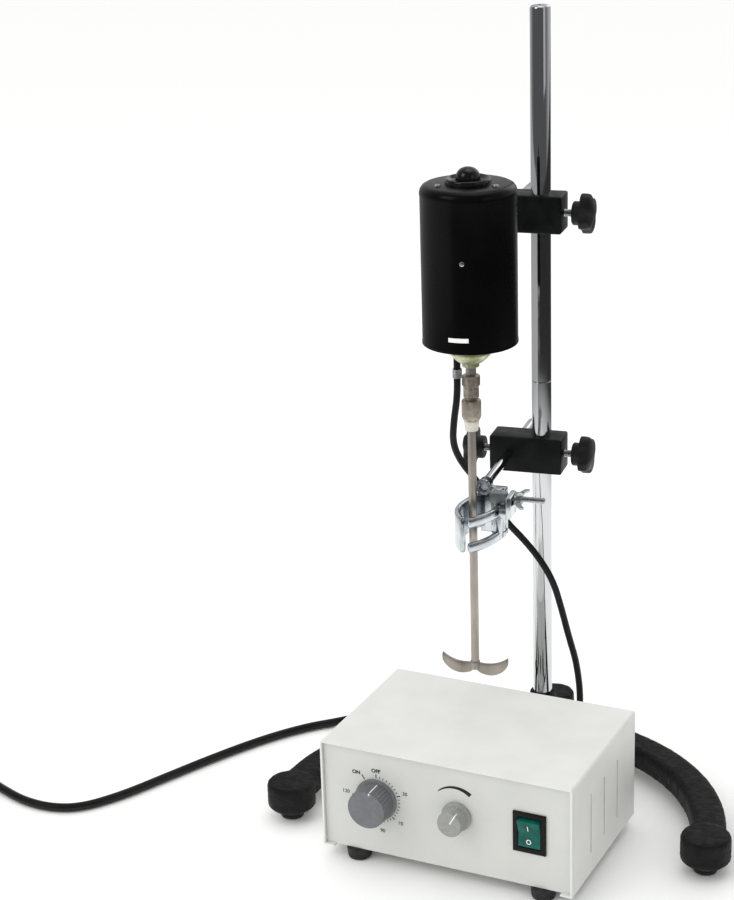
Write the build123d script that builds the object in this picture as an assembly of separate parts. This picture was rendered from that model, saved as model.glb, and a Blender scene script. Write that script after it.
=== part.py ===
from build123d import *
import os
from math import atan2, cos, degrees, hypot, pi, radians, sin, tan

# Bench-top overhead stirrer: a motor on a clamped arm, a post on a horseshoe base, a flask
# clamp and a speed control box.  Millimetres, +Z up.  The model is laid out from the post's
# axis on the table top (+Y is behind the machine) and moved to the row's origin, the middle
# of its footprint, when it is written.

# ---- fits
RUN = 0.05  # radial clearance of a piece that turns or slides in another
SEAT = 0.02  # radial clearance of a piece that is fixed in another
CLEAR = 0.3  # air between faces that pass each other

# ---- post
POST_R = 8.0
POST_SECTION = 300.0
POST_LOW = 30.0
POST_SEAM = POST_LOW + POST_SECTION
POST_TOP = POST_SEAM + POST_SECTION
POST_SCREW_R = 4.0
POST_SCREW_DEPTH = 18.0

# ---- horseshoe base
BASE_R = 168.0
ARM_W = 28.0
ARM_LOW = 11.0
ARM_HIGH = 29.0
BOSS_R = 20.0
BOSS_LOW = 7.5
BOSS_HIGH = 32.0
REAR_BOSS_R = 17.5
REAR_BOSS_Y = 44.0
HUB_R = 19.0
HUB_NECK_R = 11.0
HUB_TOP = 54.0
FOOT_R = 9.5
FOOT_STEM_R = 4.0
FOOT_STEM = 9.0
BOLT_HEAD_R = 7.0
BOLT_HEAD = 8.0

# ---- boss heads and thumbscrews
HEAD_L = 60.0
HEAD_W = 26.0
HEAD_H = 30.0
HEAD_RIGHT = 19.0
HEAD_LEFT = HEAD_RIGHT - HEAD_L
UPPER_HEAD_Z = 469.0
LOWER_HEAD_Z = 268.6
ROD_X = -25.0
ARM_R = 6.0
ROD_R = 4.0
STUD_R = 3.0
STUD_SHOWN = 7.0
KNOB_R = 16.5
KNOB_T = 11.0
KNOB_SHOULDER_R = 9.5
KNOB_SHOULDER = 6.5

# ---- motor
MOTOR_Y = -122.0
CAN_R = 36.25
CAN_LOW = 397.0
CAN_HIGH = 518.0
CAN_WALL = 2.0
CAN_LID = 3.0
SHAFT_R = 4.0
BEARING_R = 11.0
BEARING_T = 7.0
BELL_R = 16.75
BELL_LOW = CAN_LOW - 9
BELL_HUB_R = 6.5
BELL_HUB_LOW = BELL_LOW - 10.5
STATOR_LOW = CAN_LOW + 33
STATOR_T = 48.0
STATOR_BORE = 19.6
AIR_GAP = 0.6
SLOTS = 12
COMMUTATOR_LOW = STATOR_LOW + STATOR_T + 11
COMMUTATOR_T = 12.0
COMMUTATOR_R = 11.0
TOP_RING_R = 17.25
DOME_R = 9.25
DOME_HIGH = CAN_HIGH + 12
ARM_REAR = 80.0
GROMMET_X = -41.0
GROMMET_Y = -104.0
GROMMET_LOW = CAN_LOW - 10

# ---- chuck and stirrer
CHUCK_HIGH = BELL_HUB_LOW - 7
CHUCK_KNURL_R = 7.0
CHUCK_KNURL = 8.0
CHUCK_BODY_R = 6.0
SLEEVE_R = 7.5
SLEEVE_HIGH = CHUCK_HIGH - 19.5
SLEEVE_LOW = SLEEVE_HIGH - 16.4
NOSE_R = 5.0
NOSE_LOW = SLEEVE_LOW - 8.1
STIRRER_R = 3.25
STIRRER_IN = 21.0
PADDLE_LOW = 122.5
PADDLE_SPAN = 56.0
PADDLE_T = 2.5

# ---- flask clamp
RING_X = -24.0
RING_Y = -121.0
RING_R = 15.0
JAW_T = 4.5
JAW_LOW = 235.0
JAW_HIGH = 264.0
FINGER_H = 8.0
PIVOT_X = -12.0
PIVOT_Y = -95.0
PIN_R = 2.5
BARREL_R = 5.5
EAR_T = 5.0
YOKE_BACK = -84.0
CLAMP_ROD_REAR = 69.0
WEB_X = 5.0
CLAMP_STUD_R = 2.5
CLAMP_STUD_Y = -109.0
CLAMP_STUD_Z = 268.5
CLAMP_STUD_END = 29.0

# ---- control box, in its own axes: x across, y to its rear, z up
BOX_X = -10.8
BOX_Y = -165.75
BOX_YAW = -7.95
BOX_W = 207.0
BOX_D = 138.7
BOX_LOW = 9.0
BOX_H = 90.4
SHEET = 1.5
PANEL_IN = 3.0
BOX_FOOT_R = 10.0
BOX_FOOT_X = BOX_W / 2 - 26.5
BOX_FOOT_Y = BOX_D / 2 - 9.85
SLOT_PITCH = 29.0
SLOT_L = 50.0
SLOT_W = 2.0
TIMER_X, TIMER_Z = -57.4, 57.0
SPEED_X, SPEED_Z = 10.0, 57.0
SWITCH_X, SWITCH_Z = 69.0, 55.6
GLAND_X, GLAND_Z = -62.0, 40.0
SOCKET_X, SOCKET_Z = 33.0, 36.0
FUSE_X, FUSE_Z = -16.0, 38.0
SPINDLE_R = 3.0
TIMER_KNOB_R = 15.5
TIMER_SKIRT_R = 18.0
TIMER_KNOB = 19.5
SPEED_KNOB_R = 10.4
SPEED_SKIRT_R = 12.0
SPEED_KNOB = 16.0
BEZEL_W, BEZEL_H, BEZEL_T = 26.5, 33.5, 1.8
ROCKER_W, ROCKER_L = 18.0, 23.2
ROCKER_TILT = 8.0

# ---- cords
MOTOR_CORD_R = 2.75
MAINS_CORD_R = 3.5
COIL_X, COIL_Y = -484.7, -201.0
COIL_TURN_R = 38.5
COIL_LAYERS = 2

# where the motor cord leaves the grommet, hangs past the clamp and reaches the box's plug
MOTOR_CORD_ROUTE = [
    (-41.0, -104.0, 387.0),
    (-40.8, -104.4, 367.0),
    (-41.2, -104.0, 346.0),
    (-44.4, -103.8, 326.0),
    (-46.0, -102.5, 307.0),
    (-41.8, -94.0, 289.0),
    (-34.0, -77.5, 268.5),
    (-25.5, -69.0, 248.5),
    (-13.5, -62.5, 229.0),
    (0.5, -57.0, 211.5),
    (12.0, -53.0, 194.5),
    (21.5, -50.0, 175.5),
    (27.0, -46.0, 151.5),
    (32.0, -40.5, 124.0),
    (37.0, -33.5, 98.0),
    (39.4, -29.0, 66.0),
    (39.4, -36.5, 47.5),
    (38.2, -53.1, 36.2),
    (34.9, -76.9, 36.0),
]
# the mains cord, from its gland over the base's arm, down to the table and into its coil
MAINS_CORD_ROUTE = [
    (-60.7, -74.6, 40.0),
    (-57.3, -50.1, 40.1),
    (-70.0, -27.0, 40.0),
    (-95.0, -13.0, 38.5),
    (-124.0, -5.5, 29.0),
    (-152.0, -2.5, 13.0),
    (-180.0, -6.5, 3.8),
    (-207.0, -25.0, 3.6),
    (-236.0, -57.0, 3.6),
    (-264.0, -97.5, 3.6),
    (-290.0, -140.0, 3.6),
    (-316.0, -183.0, 3.6),
    (-344.0, -212.0, 3.6),
    (-382.0, -212.5, 3.6),
    (-422.0, -191.9, 3.6),
    (-462.0, -165.7, 3.6),
]

parts = {}


def keep(node, *solids):
    """Collects a node's solids; several calls add to one node."""
    for piece in solids:
        parts.setdefault(node, []).extend(piece.solids())


def disc(radius, low, high, x=0, y=0):
    """A round bar standing between two heights."""
    return Pos(x, y, (low + high) / 2) * Cylinder(radius, high - low)


def bar_x(radius, start, end, y, z):
    """A round bar along X."""
    return Pos((start + end) / 2, y, z) * Rot(0, 90, 0) * Cylinder(radius, end - start)


def bar_y(radius, start, end, x, z):
    """A round bar along Y."""
    return Pos(x, (start + end) / 2, z) * Rot(90, 0, 0) * Cylinder(radius, end - start)


def block(x, y, z):
    """A box from three (low, high) pairs."""
    middle = [(a + b) / 2 for a, b in (x, y, z)]
    return Pos(*middle) * Box(x[1] - x[0], y[1] - y[0], z[1] - z[0])


def rounded(face, rounds):
    """A flat outline with the corners nearest the given points rounded."""
    for (x, y), radius in rounds.items():
        corner = min(face.vertices(), key=lambda v: hypot(v.X - x, v.Y - y))
        face = fillet(corner, radius)
    return face


def turned(outline, rounds=None, x=0, y=0):
    """A solid of revolution about a vertical axis, from (radius, height) points."""
    face = rounded(make_face(Polyline(*outline, close=True)), rounds or {})
    return Pos(x, y, 0) * revolve(Plane.XZ * face, Axis.Z)


def prism(points, low, high):
    """An upright prism on a flat outline."""
    return Pos(0, 0, low) * extrude(make_face(Polyline(*points, close=True)), high - low)


def fluted(radius, depth, count, low, high):
    """A round grip with shallow V flutes down its side."""
    outline = []
    for n in range(2 * count):
        r = radius - depth * (n % 2)
        outline.append((r * cos(pi * n / count), r * sin(pi * n / count)))
    return prism(outline, low, high)


def tube_route(name, points, radius):
    """A cord's tube: straight runs joined by arcs as large as the runs allow."""
    route = [Vector(*p) for p in points]
    runs = [b - a for a, b in zip(route, route[1:])]
    radii = []
    for before, after in zip(runs, runs[1:]):
        turn = radians(before.get_angle(after))
        radii.append(0.45 * min(before.length, after.length) / tan(turn / 2))
    path = FilletPolyline(*route, radius=radii)
    start = Plane(origin=route[0], z_dir=runs[0])
    tube = sweep(start * Circle(radius), path=path)
    filled = tube.volume / (pi * radius**2 * path.length)
    print(name, "length", round(path.length, 1), "tightest", round(min(radii), 1))
    print(name, "longest run", round(max(r.length for r in runs), 1), "fill", round(filled, 4))
    return tube


# ---------------------------------------------------------------- stand
def foot_places():
    return [(-BASE_R, -BASE_R), (BASE_R, -BASE_R), (0, REAR_BOSS_Y)]


def stand_base():
    half = ARM_W / 2
    section = make_face(
        Polyline(
            (BASE_R - half, ARM_LOW),
            (BASE_R + half, ARM_LOW),
            (BASE_R + half, ARM_HIGH),
            (BASE_R - half, ARM_HIGH),
            close=True,
        )
    )
    crown = {(BASE_R - half, ARM_HIGH): 6, (BASE_R + half, ARM_HIGH): 6}
    arms = revolve(Plane.XZ * rounded(section, crown), Axis.Z, 180)
    base = Pos(0, -BASE_R, 0) * arms
    for x, y in foot_places():
        r = BOSS_R if x else REAR_BOSS_R
        outline = [(0, BOSS_LOW), (r - 4, BOSS_LOW), (r, BOSS_LOW + 4), (r, BOSS_HIGH), (0, BOSS_HIGH)]
        base += turned(outline, {(r, BOSS_HIGH): 3}, x, y)
    base += block((-HUB_NECK_R, HUB_NECK_R), (0, REAR_BOSS_Y), (ARM_LOW, ARM_HIGH))
    hub = [
        (0, ARM_LOW),
        (HUB_R + 4, ARM_LOW),
        (HUB_R + 4, ARM_HIGH),
        (HUB_R - 2, ARM_HIGH + 5),
        (HUB_NECK_R + 2, HUB_TOP - 8),
        (HUB_NECK_R, HUB_TOP),
        (0, HUB_TOP),
    ]
    base += turned(hub, {(HUB_R - 2, ARM_HIGH + 5): 6, (HUB_NECK_R + 2, HUB_TOP - 8): 8})
    base -= disc(POST_R + SEAT, POST_LOW, HUB_TOP + 1)
    base -= disc(POST_SCREW_R + RUN, 0, POST_LOW + 1)
    base -= disc(BOLT_HEAD_R + 1, 0, ARM_LOW + BOLT_HEAD + 1)
    for x, y in foot_places():
        base -= disc(FOOT_STEM_R + SEAT, 0, BOSS_LOW + FOOT_STEM + 1, x, y)
    return base


def stand_feet():
    feet = []
    for x, y in foot_places():
        pad = [
            (0, 0),
            (FOOT_R - 1.5, 0),
            (FOOT_R, 1.5),
            (FOOT_R, BOSS_LOW),
            (FOOT_STEM_R, BOSS_LOW),
            (FOOT_STEM_R, BOSS_LOW + FOOT_STEM),
            (0, BOSS_LOW + FOOT_STEM),
        ]
        feet.append(turned(pad, None, x, y))
    return feet


def post_section(low, high, foot_chamfer, top_chamfer):
    outline = [
        (0, low),
        (POST_R - foot_chamfer, low),
        (POST_R, low + foot_chamfer),
        (POST_R, high - top_chamfer),
        (POST_R - top_chamfer, high),
        (0, high),
    ]
    return turned(outline)


def post_fasteners():
    """The bolt that holds the post from below and the stud that joins its sections."""
    head = ARM_LOW + 1 + BOLT_HEAD
    bolt = disc(BOLT_HEAD_R, head - BOLT_HEAD, head)
    bolt += disc(POST_SCREW_R, head, POST_LOW + POST_SCREW_DEPTH - 1)
    bolt -= prism([(3.5 * cos(n * pi / 3), 3.5 * sin(n * pi / 3)) for n in range(6)], 0, head - 3)
    stud = disc(POST_SCREW_R, POST_SEAM - POST_SCREW_DEPTH + 1, POST_SEAM + POST_SCREW_DEPTH - 1)
    return bolt, stud


def make_stand():
    bore = POST_SCREW_R + SEAT
    keep("stand_base", stand_base())
    keep("stand_feet", *stand_feet())
    lower = post_section(POST_LOW, POST_SEAM, 0.5, 0.4)
    lower -= disc(bore, POST_LOW, POST_LOW + POST_SCREW_DEPTH)
    lower -= disc(bore, POST_SEAM - POST_SCREW_DEPTH, POST_SEAM)
    upper = post_section(POST_SEAM, POST_TOP, 0.4, 1.8)
    upper -= disc(bore, POST_SEAM, POST_SEAM + POST_SCREW_DEPTH)
    upper -= turned([(0, POST_TOP - 4), (1.6, POST_TOP - 3), (2.6, POST_TOP), (0, POST_TOP)])
    keep("post_lower", lower)
    keep("post_upper", upper)
    keep("post_fasteners", *post_fasteners())


# ---------------------------------------------------------------- heads
def boss_head(z, rod_r):
    """A rectangular boss head, bored for the post and for a rod across it."""
    shape = block((HEAD_LEFT, HEAD_RIGHT), (-HEAD_W / 2, HEAD_W / 2), (z - HEAD_H / 2, z + HEAD_H / 2))
    shape = chamfer(shape.edges(), 1.2)
    shape -= disc(POST_R + RUN, z - HEAD_H, z + HEAD_H)
    shape -= bar_y(rod_r + RUN, -HEAD_W, HEAD_W, ROD_X, z)
    shape -= bar_x(STUD_R + RUN, 0, HEAD_RIGHT + 1, 0, z)
    shape -= bar_x(STUD_R + RUN, HEAD_LEFT - 1, ROD_X, 0, z)
    return shape


def thumbscrew(tip):
    """A star knob on its stud, standing on +Z: the stud's tip is tip below the head's face."""
    knob = Circle(11)
    for place in PolarLocations(10.3, 4):
        knob += place * Circle(KNOB_R - 10.3)
    low = STUD_SHOWN + KNOB_SHOULDER
    high = low + KNOB_T
    star = Pos(0, 0, low) * extrude(knob, KNOB_T)
    dome = [(0, low), (KNOB_R - 1, low), (KNOB_R + 0.5, low + 2), (KNOB_R + 0.5, high - 5), (13, high - 2)]
    dome += [(8, high), (0, high)]
    star = star & turned(dome, {(KNOB_R + 0.5, high - 5): 3, (13, high - 2): 6})
    star += disc(KNOB_SHOULDER_R, STUD_SHOWN, low)
    star -= disc(STUD_R + SEAT, STUD_SHOWN, low + 6)
    stud = disc(STUD_R, -tip, low + 6)
    return star, stud


def make_heads():
    for head, z, rod_r in (("upper", UPPER_HEAD_Z, ARM_R), ("lower", LOWER_HEAD_Z, ROD_R)):
        keep(f"{head}_head", boss_head(z, rod_r))
        right = Pos(HEAD_RIGHT, 0, z) * Rot(0, 90, 0) * Rot(0, 0, 20)
        left = Pos(HEAD_LEFT, 0, z) * Rot(0, -90, 0) * Rot(0, 0, 35)
        reach = HEAD_RIGHT - POST_R - RUN - CLEAR
        keep(f"{head}_post_screw", *[right * s for s in thumbscrew(reach)])
        reach = ROD_X - HEAD_LEFT - rod_r - RUN - CLEAR
        keep(f"{head}_rod_screw", *[left * s for s in thumbscrew(reach)])


# ---------------------------------------------------------------- motor
def motor_housing():
    inner = CAN_R - CAN_WALL
    lid = CAN_HIGH - CAN_LID
    seat = lid - 3 - BEARING_T
    outline = [
        (inner, CAN_LOW),
        (CAN_R, CAN_LOW),
        (CAN_R, CAN_HIGH),
        (0, CAN_HIGH),
        (0, lid - 3),
        (BEARING_R + SEAT, lid - 3),
        (BEARING_R + SEAT, seat),
        (BEARING_R + 3, seat),
        (BEARING_R + 3, lid),
        (inner, lid),
    ]
    can = turned(outline, {(CAN_R, CAN_HIGH): 4}, ROD_X, MOTOR_Y)
    pad = bar_y(11, MOTOR_Y + CAN_R - 1.5, MOTOR_Y + CAN_R + 2, ROD_X, UPPER_HEAD_Z)
    can += pad - disc(inner, CAN_LOW, CAN_HIGH, ROD_X, MOTOR_Y)
    can -= bar_y(ARM_R - 1 + SEAT, MOTOR_Y + inner - 2, MOTOR_Y + CAN_R + 3, ROD_X, UPPER_HEAD_Z)
    for x, y in screw_places():
        can -= disc(1.25 + SEAT, CAN_HIGH - 2, CAN_HIGH + 1, x, y)
    return can


def screw_places():
    """The three small screws on top of the motor."""
    spots = []
    for n in range(3):
        a = radians(100 + 120 * n)
        spots.append((ROD_X + 24.5 * cos(a), MOTOR_Y + 24.5 * sin(a)))
    return spots


def end_bell():
    plate_r = CAN_R - CAN_WALL - SEAT
    outline = [
        (SHAFT_R + CLEAR, BELL_HUB_LOW),
        (BELL_HUB_R, BELL_HUB_LOW),
        (BELL_HUB_R, BELL_HUB_LOW + 3.5),
        (10, BELL_HUB_LOW + 3.5),
        (BELL_R, BELL_LOW),
        (BELL_R, CAN_LOW + 1),
        (plate_r, CAN_LOW + 1),
        (plate_r, CAN_LOW + 5),
        (BEARING_R + SEAT, CAN_LOW + 5),
        (BEARING_R + SEAT, CAN_LOW - BEARING_T),
        (SHAFT_R + CLEAR, CAN_LOW - BEARING_T),
    ]
    bell = turned(outline, {(BELL_R, BELL_LOW): 1.5}, ROD_X, MOTOR_Y)
    bell -= disc(4.5, CAN_LOW, CAN_LOW + 6, GROMMET_X, GROMMET_Y)
    return bell


def bearing(low):
    """Outer race, shield and inner race, as separate rings."""
    rings = []
    for inner, outer, short in ((9.2, BEARING_R, 0), (6.1, 9.15, 1), (SHAFT_R + RUN, 6.05, 0)):
        ring = disc(outer, low + short, low + BEARING_T - short)
        rings.append(Pos(ROD_X, MOTOR_Y, 0) * (ring - disc(inner, low - 1, low + BEARING_T + 1)))
    return rings


def stator():
    """The laminated ring with its slots, and the copper wound through them."""
    outer = CAN_R - CAN_WALL - SEAT
    high = STATOR_LOW + STATOR_T
    core = disc(outer, STATOR_LOW, high) - disc(STATOR_BORE, STATOR_LOW - 1, high + 1)
    coil_in, coil_out = 22.0, 29.5
    winding = disc(coil_out, high, high + 8) + disc(coil_out, STATOR_LOW - 8, STATOR_LOW)
    for place in PolarLocations((coil_in + coil_out) / 2, SLOTS):
        core -= place * disc(3 + SEAT, STATOR_LOW - 1, high + 1)
        winding += place * disc(3, STATOR_LOW - 1, high + 1)
    winding -= disc(coil_in, STATOR_LOW - 10, high + 10)
    at = Pos(ROD_X, MOTOR_Y, 0)
    return at * core, at * winding


def brush_gear():
    """Two square holders fixed to the can wall, each with its carbon brush."""
    z = COMMUTATOR_LOW + COMMUTATOR_T / 2
    solids = []
    for turn in (0, 180):
        at = Pos(ROD_X, MOTOR_Y, 0) * Rot(0, 0, turn)
        out = CAN_R - CAN_WALL - 0.4
        holder = block((COMMUTATOR_R + 3, out), (-5, 5), (z - 5, z + 5))
        holder -= block((COMMUTATOR_R, out - 2), (-3.5, 3.5), (z - 3.5, z + 3.5))
        brush = block((COMMUTATOR_R + CLEAR, COMMUTATOR_R + 15), (-3.48, 3.48), (z - 3.48, z + 3.48))
        solids += [at * holder, at * brush]
    return solids


def motor_top():
    """The dished ring and the dome over the upper bearing."""
    z = CAN_HIGH
    ring = [(DOME_R + SEAT, z), (TOP_RING_R, z), (TOP_RING_R, z + 4), (TOP_RING_R - 2.5, z + 4)]
    ring += [(DOME_R + 2, z + 1.2), (DOME_R + SEAT, z + 1.2)]
    rise = DOME_HIGH - z
    dome = [(0, z), (DOME_R, z), (DOME_R, z + rise - 7), (DOME_R - 3.5, z + rise - 2), (0, z + rise)]
    bulge = {(DOME_R, z + rise - 7): 4, (DOME_R - 3.5, z + rise - 2): 6}
    rounding = {(TOP_RING_R, z + 4): 1}
    return turned(ring, rounding, ROD_X, MOTOR_Y), turned(dome, bulge, ROD_X, MOTOR_Y)


def motor_screws():
    screws = []
    for x, y in screw_places():
        head = [(0, CAN_HIGH - 2), (1.25, CAN_HIGH - 2), (1.25, CAN_HIGH), (2.4, CAN_HIGH)]
        head += [(2.4, CAN_HIGH + 0.8), (1.4, CAN_HIGH + 1.6), (0, CAN_HIGH + 1.6)]
        screws.append(turned(head, None, x, y))
    return screws


def make_motor():
    keep("motor_housing", motor_housing())
    keep("end_bell", end_bell())
    keep("motor_bearings", *bearing(CAN_LOW - BEARING_T), *bearing(CAN_HIGH - CAN_LID - 3 - BEARING_T))
    core, winding = stator()
    keep("stator_core", core)
    keep("stator_winding", winding)
    keep("brush_gear", *brush_gear())
    ring, dome = motor_top()
    keep("motor_top_ring", ring)
    keep("motor_dome", dome)
    keep("motor_screws", *motor_screws())
    face = MOTOR_Y + CAN_R + 2
    arm = bar_y(ARM_R, face + 7, ARM_REAR, ROD_X, UPPER_HEAD_Z)
    arm = chamfer(arm.edges().sort_by(Axis.Y)[-1], 1)
    arm += bar_y(ARM_R - 1, face - 4, face + 7, ROD_X, UPPER_HEAD_Z)
    keep("motor_arm", arm)
    nut = extrude(RegularPolygon(9.8, 6), 7) - disc(ARM_R - 1 + SEAT, -1, 8)
    keep("arm_nut", Pos(ROD_X, face, UPPER_HEAD_Z) * Rot(-90, 0, 0) * nut)
    grommet = [(MOTOR_CORD_R + SEAT, GROMMET_LOW + 1), (MOTOR_CORD_R + 1.2, GROMMET_LOW + 1)]
    grommet += [(4.4, CAN_LOW + 1), (4.4, CAN_LOW + 6), (MOTOR_CORD_R + SEAT, CAN_LOW + 6)]
    keep("motor_grommet", turned(grommet, None, GROMMET_X, GROMMET_Y))


def make_rotor():
    at = Pos(ROD_X, MOTOR_Y, 0)
    top = CAN_HIGH - CAN_LID - 3
    keep("motor_shaft", at * disc(SHAFT_R, CHUCK_HIGH - 12, top - 0.5))
    stack = STATOR_LOW + 2, STATOR_LOW + STATOR_T - 2
    r = STATOR_BORE - AIR_GAP
    core = disc(r, *stack)
    copper = []
    for place in PolarLocations(r - 1.5, SLOTS):
        core -= place * disc(2.2, stack[0] - 1, stack[1] + 1)
    core -= disc(SHAFT_R + SEAT, stack[0] - 1, stack[1] + 1)
    for low in (stack[0] - 9, stack[1]):
        ring = [(9, low), (15, low), (15, low + 9), (9, low + 9)]
        copper.append(turned(ring, {(15, low): 2.5, (15, low + 9): 2.5}))
    hub = disc(9 - SEAT, COMMUTATOR_LOW - 13 + SEAT, COMMUTATOR_LOW - 4) - disc(SHAFT_R + SEAT, 400, 520)
    keep("armature", at * core, *[at * c for c in copper], at * hub)
    bars = fluted(COMMUTATOR_R, 0.5, 24, COMMUTATOR_LOW, COMMUTATOR_LOW + COMMUTATOR_T)
    keep("commutator", at * (bars - disc(SHAFT_R + SEAT, 400, 520)))

    low = CHUCK_HIGH - CHUCK_KNURL
    body = fluted(CHUCK_KNURL_R, 0.35, 28, low, CHUCK_HIGH)
    barrel = [(0, SLEEVE_LOW + 1), (4.9, SLEEVE_LOW + 1), (4.9, SLEEVE_HIGH + 2)]
    barrel += [(CHUCK_BODY_R, SLEEVE_HIGH + 2), (CHUCK_BODY_R, low), (0, low)]
    body += turned(barrel, {(CHUCK_BODY_R, SLEEVE_HIGH + 2): 0.6})
    body -= disc(SHAFT_R + SEAT, CHUCK_HIGH - 12, CHUCK_HIGH + 1)
    body -= disc(STIRRER_R + RUN, 300, CHUCK_HIGH - 14)
    body -= bar_x(1.5, 0, 10, 0, CHUCK_HIGH - 4)
    grub = bar_x(1.5 - SEAT, SHAFT_R + SEAT, CHUCK_KNURL_R - 1, 0, CHUCK_HIGH - 4)
    keep("chuck_body", at * body, at * grub)

    sleeve = fluted(SLEEVE_R, 0.4, 32, SLEEVE_LOW + 2.4, SLEEVE_HIGH)
    tail = [(0, SLEEVE_LOW), (SLEEVE_R - 1.6, SLEEVE_LOW), (SLEEVE_R - 0.5, SLEEVE_LOW + 2.4), (0, SLEEVE_LOW + 2.4)]
    sleeve += turned(tail)
    sleeve -= disc(4.9 + RUN, SLEEVE_LOW + 0.7, SLEEVE_HIGH + 1)
    sleeve -= disc(STIRRER_R + RUN, SLEEVE_LOW - 1, SLEEVE_HIGH)
    keep("chuck_sleeve", at * sleeve)
    cone = [(STIRRER_R + RUN, NOSE_LOW), (NOSE_R, NOSE_LOW), (SLEEVE_R - 1.6, SLEEVE_LOW), (STIRRER_R + RUN, SLEEVE_LOW)]
    keep("chuck_sleeve", at * turned(cone, {(NOSE_R, NOSE_LOW): 0.5}))


def paddle():
    """Two crescent blades on one hub, each a lens between two arcs, tips up."""
    half = PADDLE_SPAN / 2
    z = PADDLE_LOW
    right = [
        ThreePointArc((0, z + 4.5), (half * 0.5, z), (half, z + 17)),
        ThreePointArc((half, z + 17), (half * 0.62, z + 10.5), (0, z + 10.5)),
        Line((0, z + 10.5), (0, z + 4.5)),
    ]
    face = make_face(right)
    face += mirror(face, Plane.YZ)
    blades = Pos(0, PADDLE_T / 2, 0) * extrude(Plane.XZ * face, PADDLE_T)
    hub = disc(STIRRER_R + 1.2, z + 4.5, z + 14)
    return blades + hub - disc(STIRRER_R + SEAT, z + 7, z + 20)


def make_stirrer():
    at = Pos(ROD_X, MOTOR_Y, 0)
    top = SLEEVE_LOW + STIRRER_IN
    shaft = disc(STIRRER_R, PADDLE_LOW + 7, top)
    keep("stirrer_shaft", at * chamfer(shaft.edges().sort_by(Axis.Z)[-1], 0.5))
    keep("paddle", at * paddle())


# ---------------------------------------------------------------- flask clamp
def jaw_band(start, end, low, high):
    """A curved band of the jaw ring between two angles, round-ended."""
    middle = RING_R + JAW_T / 2
    a, b = radians(start), radians(end)
    band = disc(RING_R + JAW_T, low, high) - disc(RING_R, low - 1, high + 1)
    far = 60
    steps = [a + (b - a) * n / 6 for n in range(7)]
    wedge = [(0, 0)] + [(far * cos(s), far * sin(s)) for s in steps]
    band = band & prism(wedge, low, high)
    for s in (a, b):
        band += disc(JAW_T / 2, low, high, middle * cos(s), middle * sin(s))
    return Pos(RING_X, RING_Y, 0) * band


def strut(start, end, width, low, high):
    """A straight flat bar between two plan points, round-ended."""
    dx, dy = end[0] - start[0], end[1] - start[1]
    run = hypot(dx, dy)
    bar = Pos(run / 2, 0, 0) * Box(run, width, high - low)
    for x in (0, run):
        bar += Pos(x, 0, 0) * Cylinder(width / 2, high - low)
    return Pos(start[0], start[1], (low + high) / 2) * Rot(0, 0, degrees(atan2(dy, dx))) * bar


def ring_point(angle):
    r = RING_R + JAW_T / 2
    return RING_X + r * cos(radians(angle)), RING_Y + r * sin(radians(angle))


def clamp_frame():
    """The yoke on the rod's end with the fixed jaw that curves round the left of the shaft."""
    ear_low, ear_high = JAW_LOW - EAR_T, JAW_HIGH
    frame = block((ROD_X - 5, PIVOT_X + BARREL_R), (YOKE_BACK - 4.5, YOKE_BACK), (ear_low, ear_high + EAR_T))
    for low in (ear_low, ear_high + CLEAR):
        high = low + EAR_T - CLEAR
        frame += strut((PIVOT_X, PIVOT_Y), (PIVOT_X, YOKE_BACK - 2), 2 * BARREL_R, low, high)
    frame -= block((-100, 100), (YOKE_BACK, 0), (200, 300))
    frame += bar_y(ROD_R + 2.5, YOKE_BACK - 8, YOKE_BACK + 3, ROD_X, LOWER_HEAD_Z)
    frame += strut((ROD_X - 2.7, YOKE_BACK - 2.3), ring_point(112), JAW_T, JAW_LOW, JAW_HIGH)
    frame += jaw_band(112, 224, JAW_LOW, JAW_HIGH)
    frame -= bar_y(ROD_R + SEAT, YOKE_BACK - 5, 0, ROD_X, LOWER_HEAD_Z)
    frame -= disc(PIN_R + SEAT, 200, 300, PIVOT_X, PIVOT_Y)
    lug = block((PIVOT_X - 3, WEB_X - JAW_T - 1), (CLAMP_STUD_Y - 3.6, PIVOT_Y), (JAW_HIGH + CLEAR, JAW_HIGH + 9))
    lug -= disc(PIN_R + 1.2, 200, 300, PIVOT_X, PIVOT_Y)
    frame += lug
    frame -= bar_x(CLAMP_STUD_R + SEAT, PIVOT_X, 50, CLAMP_STUD_Y, CLAMP_STUD_Z)
    return frame


def moving_jaw():
    """The hinged jaw: a barrel, two curved fingers and the slotted ear that the nut bears on."""
    low, high = JAW_LOW + CLEAR, JAW_HIGH - CLEAR
    jaw = disc(BARREL_R, low, high, PIVOT_X, PIVOT_Y)
    start = ring_point(22)
    for bottom in (low, high - FINGER_H):
        jaw += jaw_band(-119, 22, bottom, bottom + FINGER_H)
        jaw += strut((PIVOT_X + 1, PIVOT_Y - 1), start, JAW_T, bottom, bottom + FINGER_H)
    jaw += jaw_band(0, 22, low, high)
    front, back = CLAMP_STUD_Y - 14, CLAMP_STUD_Y + 6
    outer = block((WEB_X - JAW_T, WEB_X), (front, back), (high - FINGER_H, CLAMP_STUD_Z + 5))
    bridge = block((ring_point(0)[0], WEB_X), (front, back), (high - FINGER_H, high))
    jaw += outer + (bridge - disc(RING_R + JAW_T / 2, 200, 300, RING_X, RING_Y))
    slot = block((WEB_X - 9, WEB_X + 1), (front + 2.5, back - 2.5), (CLAMP_STUD_Z - 3.2, CLAMP_STUD_Z + 3.2))
    jaw -= slot
    jaw -= disc(PIN_R + RUN, 200, 300, PIVOT_X, PIVOT_Y)
    jaw -= disc(RING_R, 200, 300, RING_X, RING_Y)
    return jaw


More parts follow.
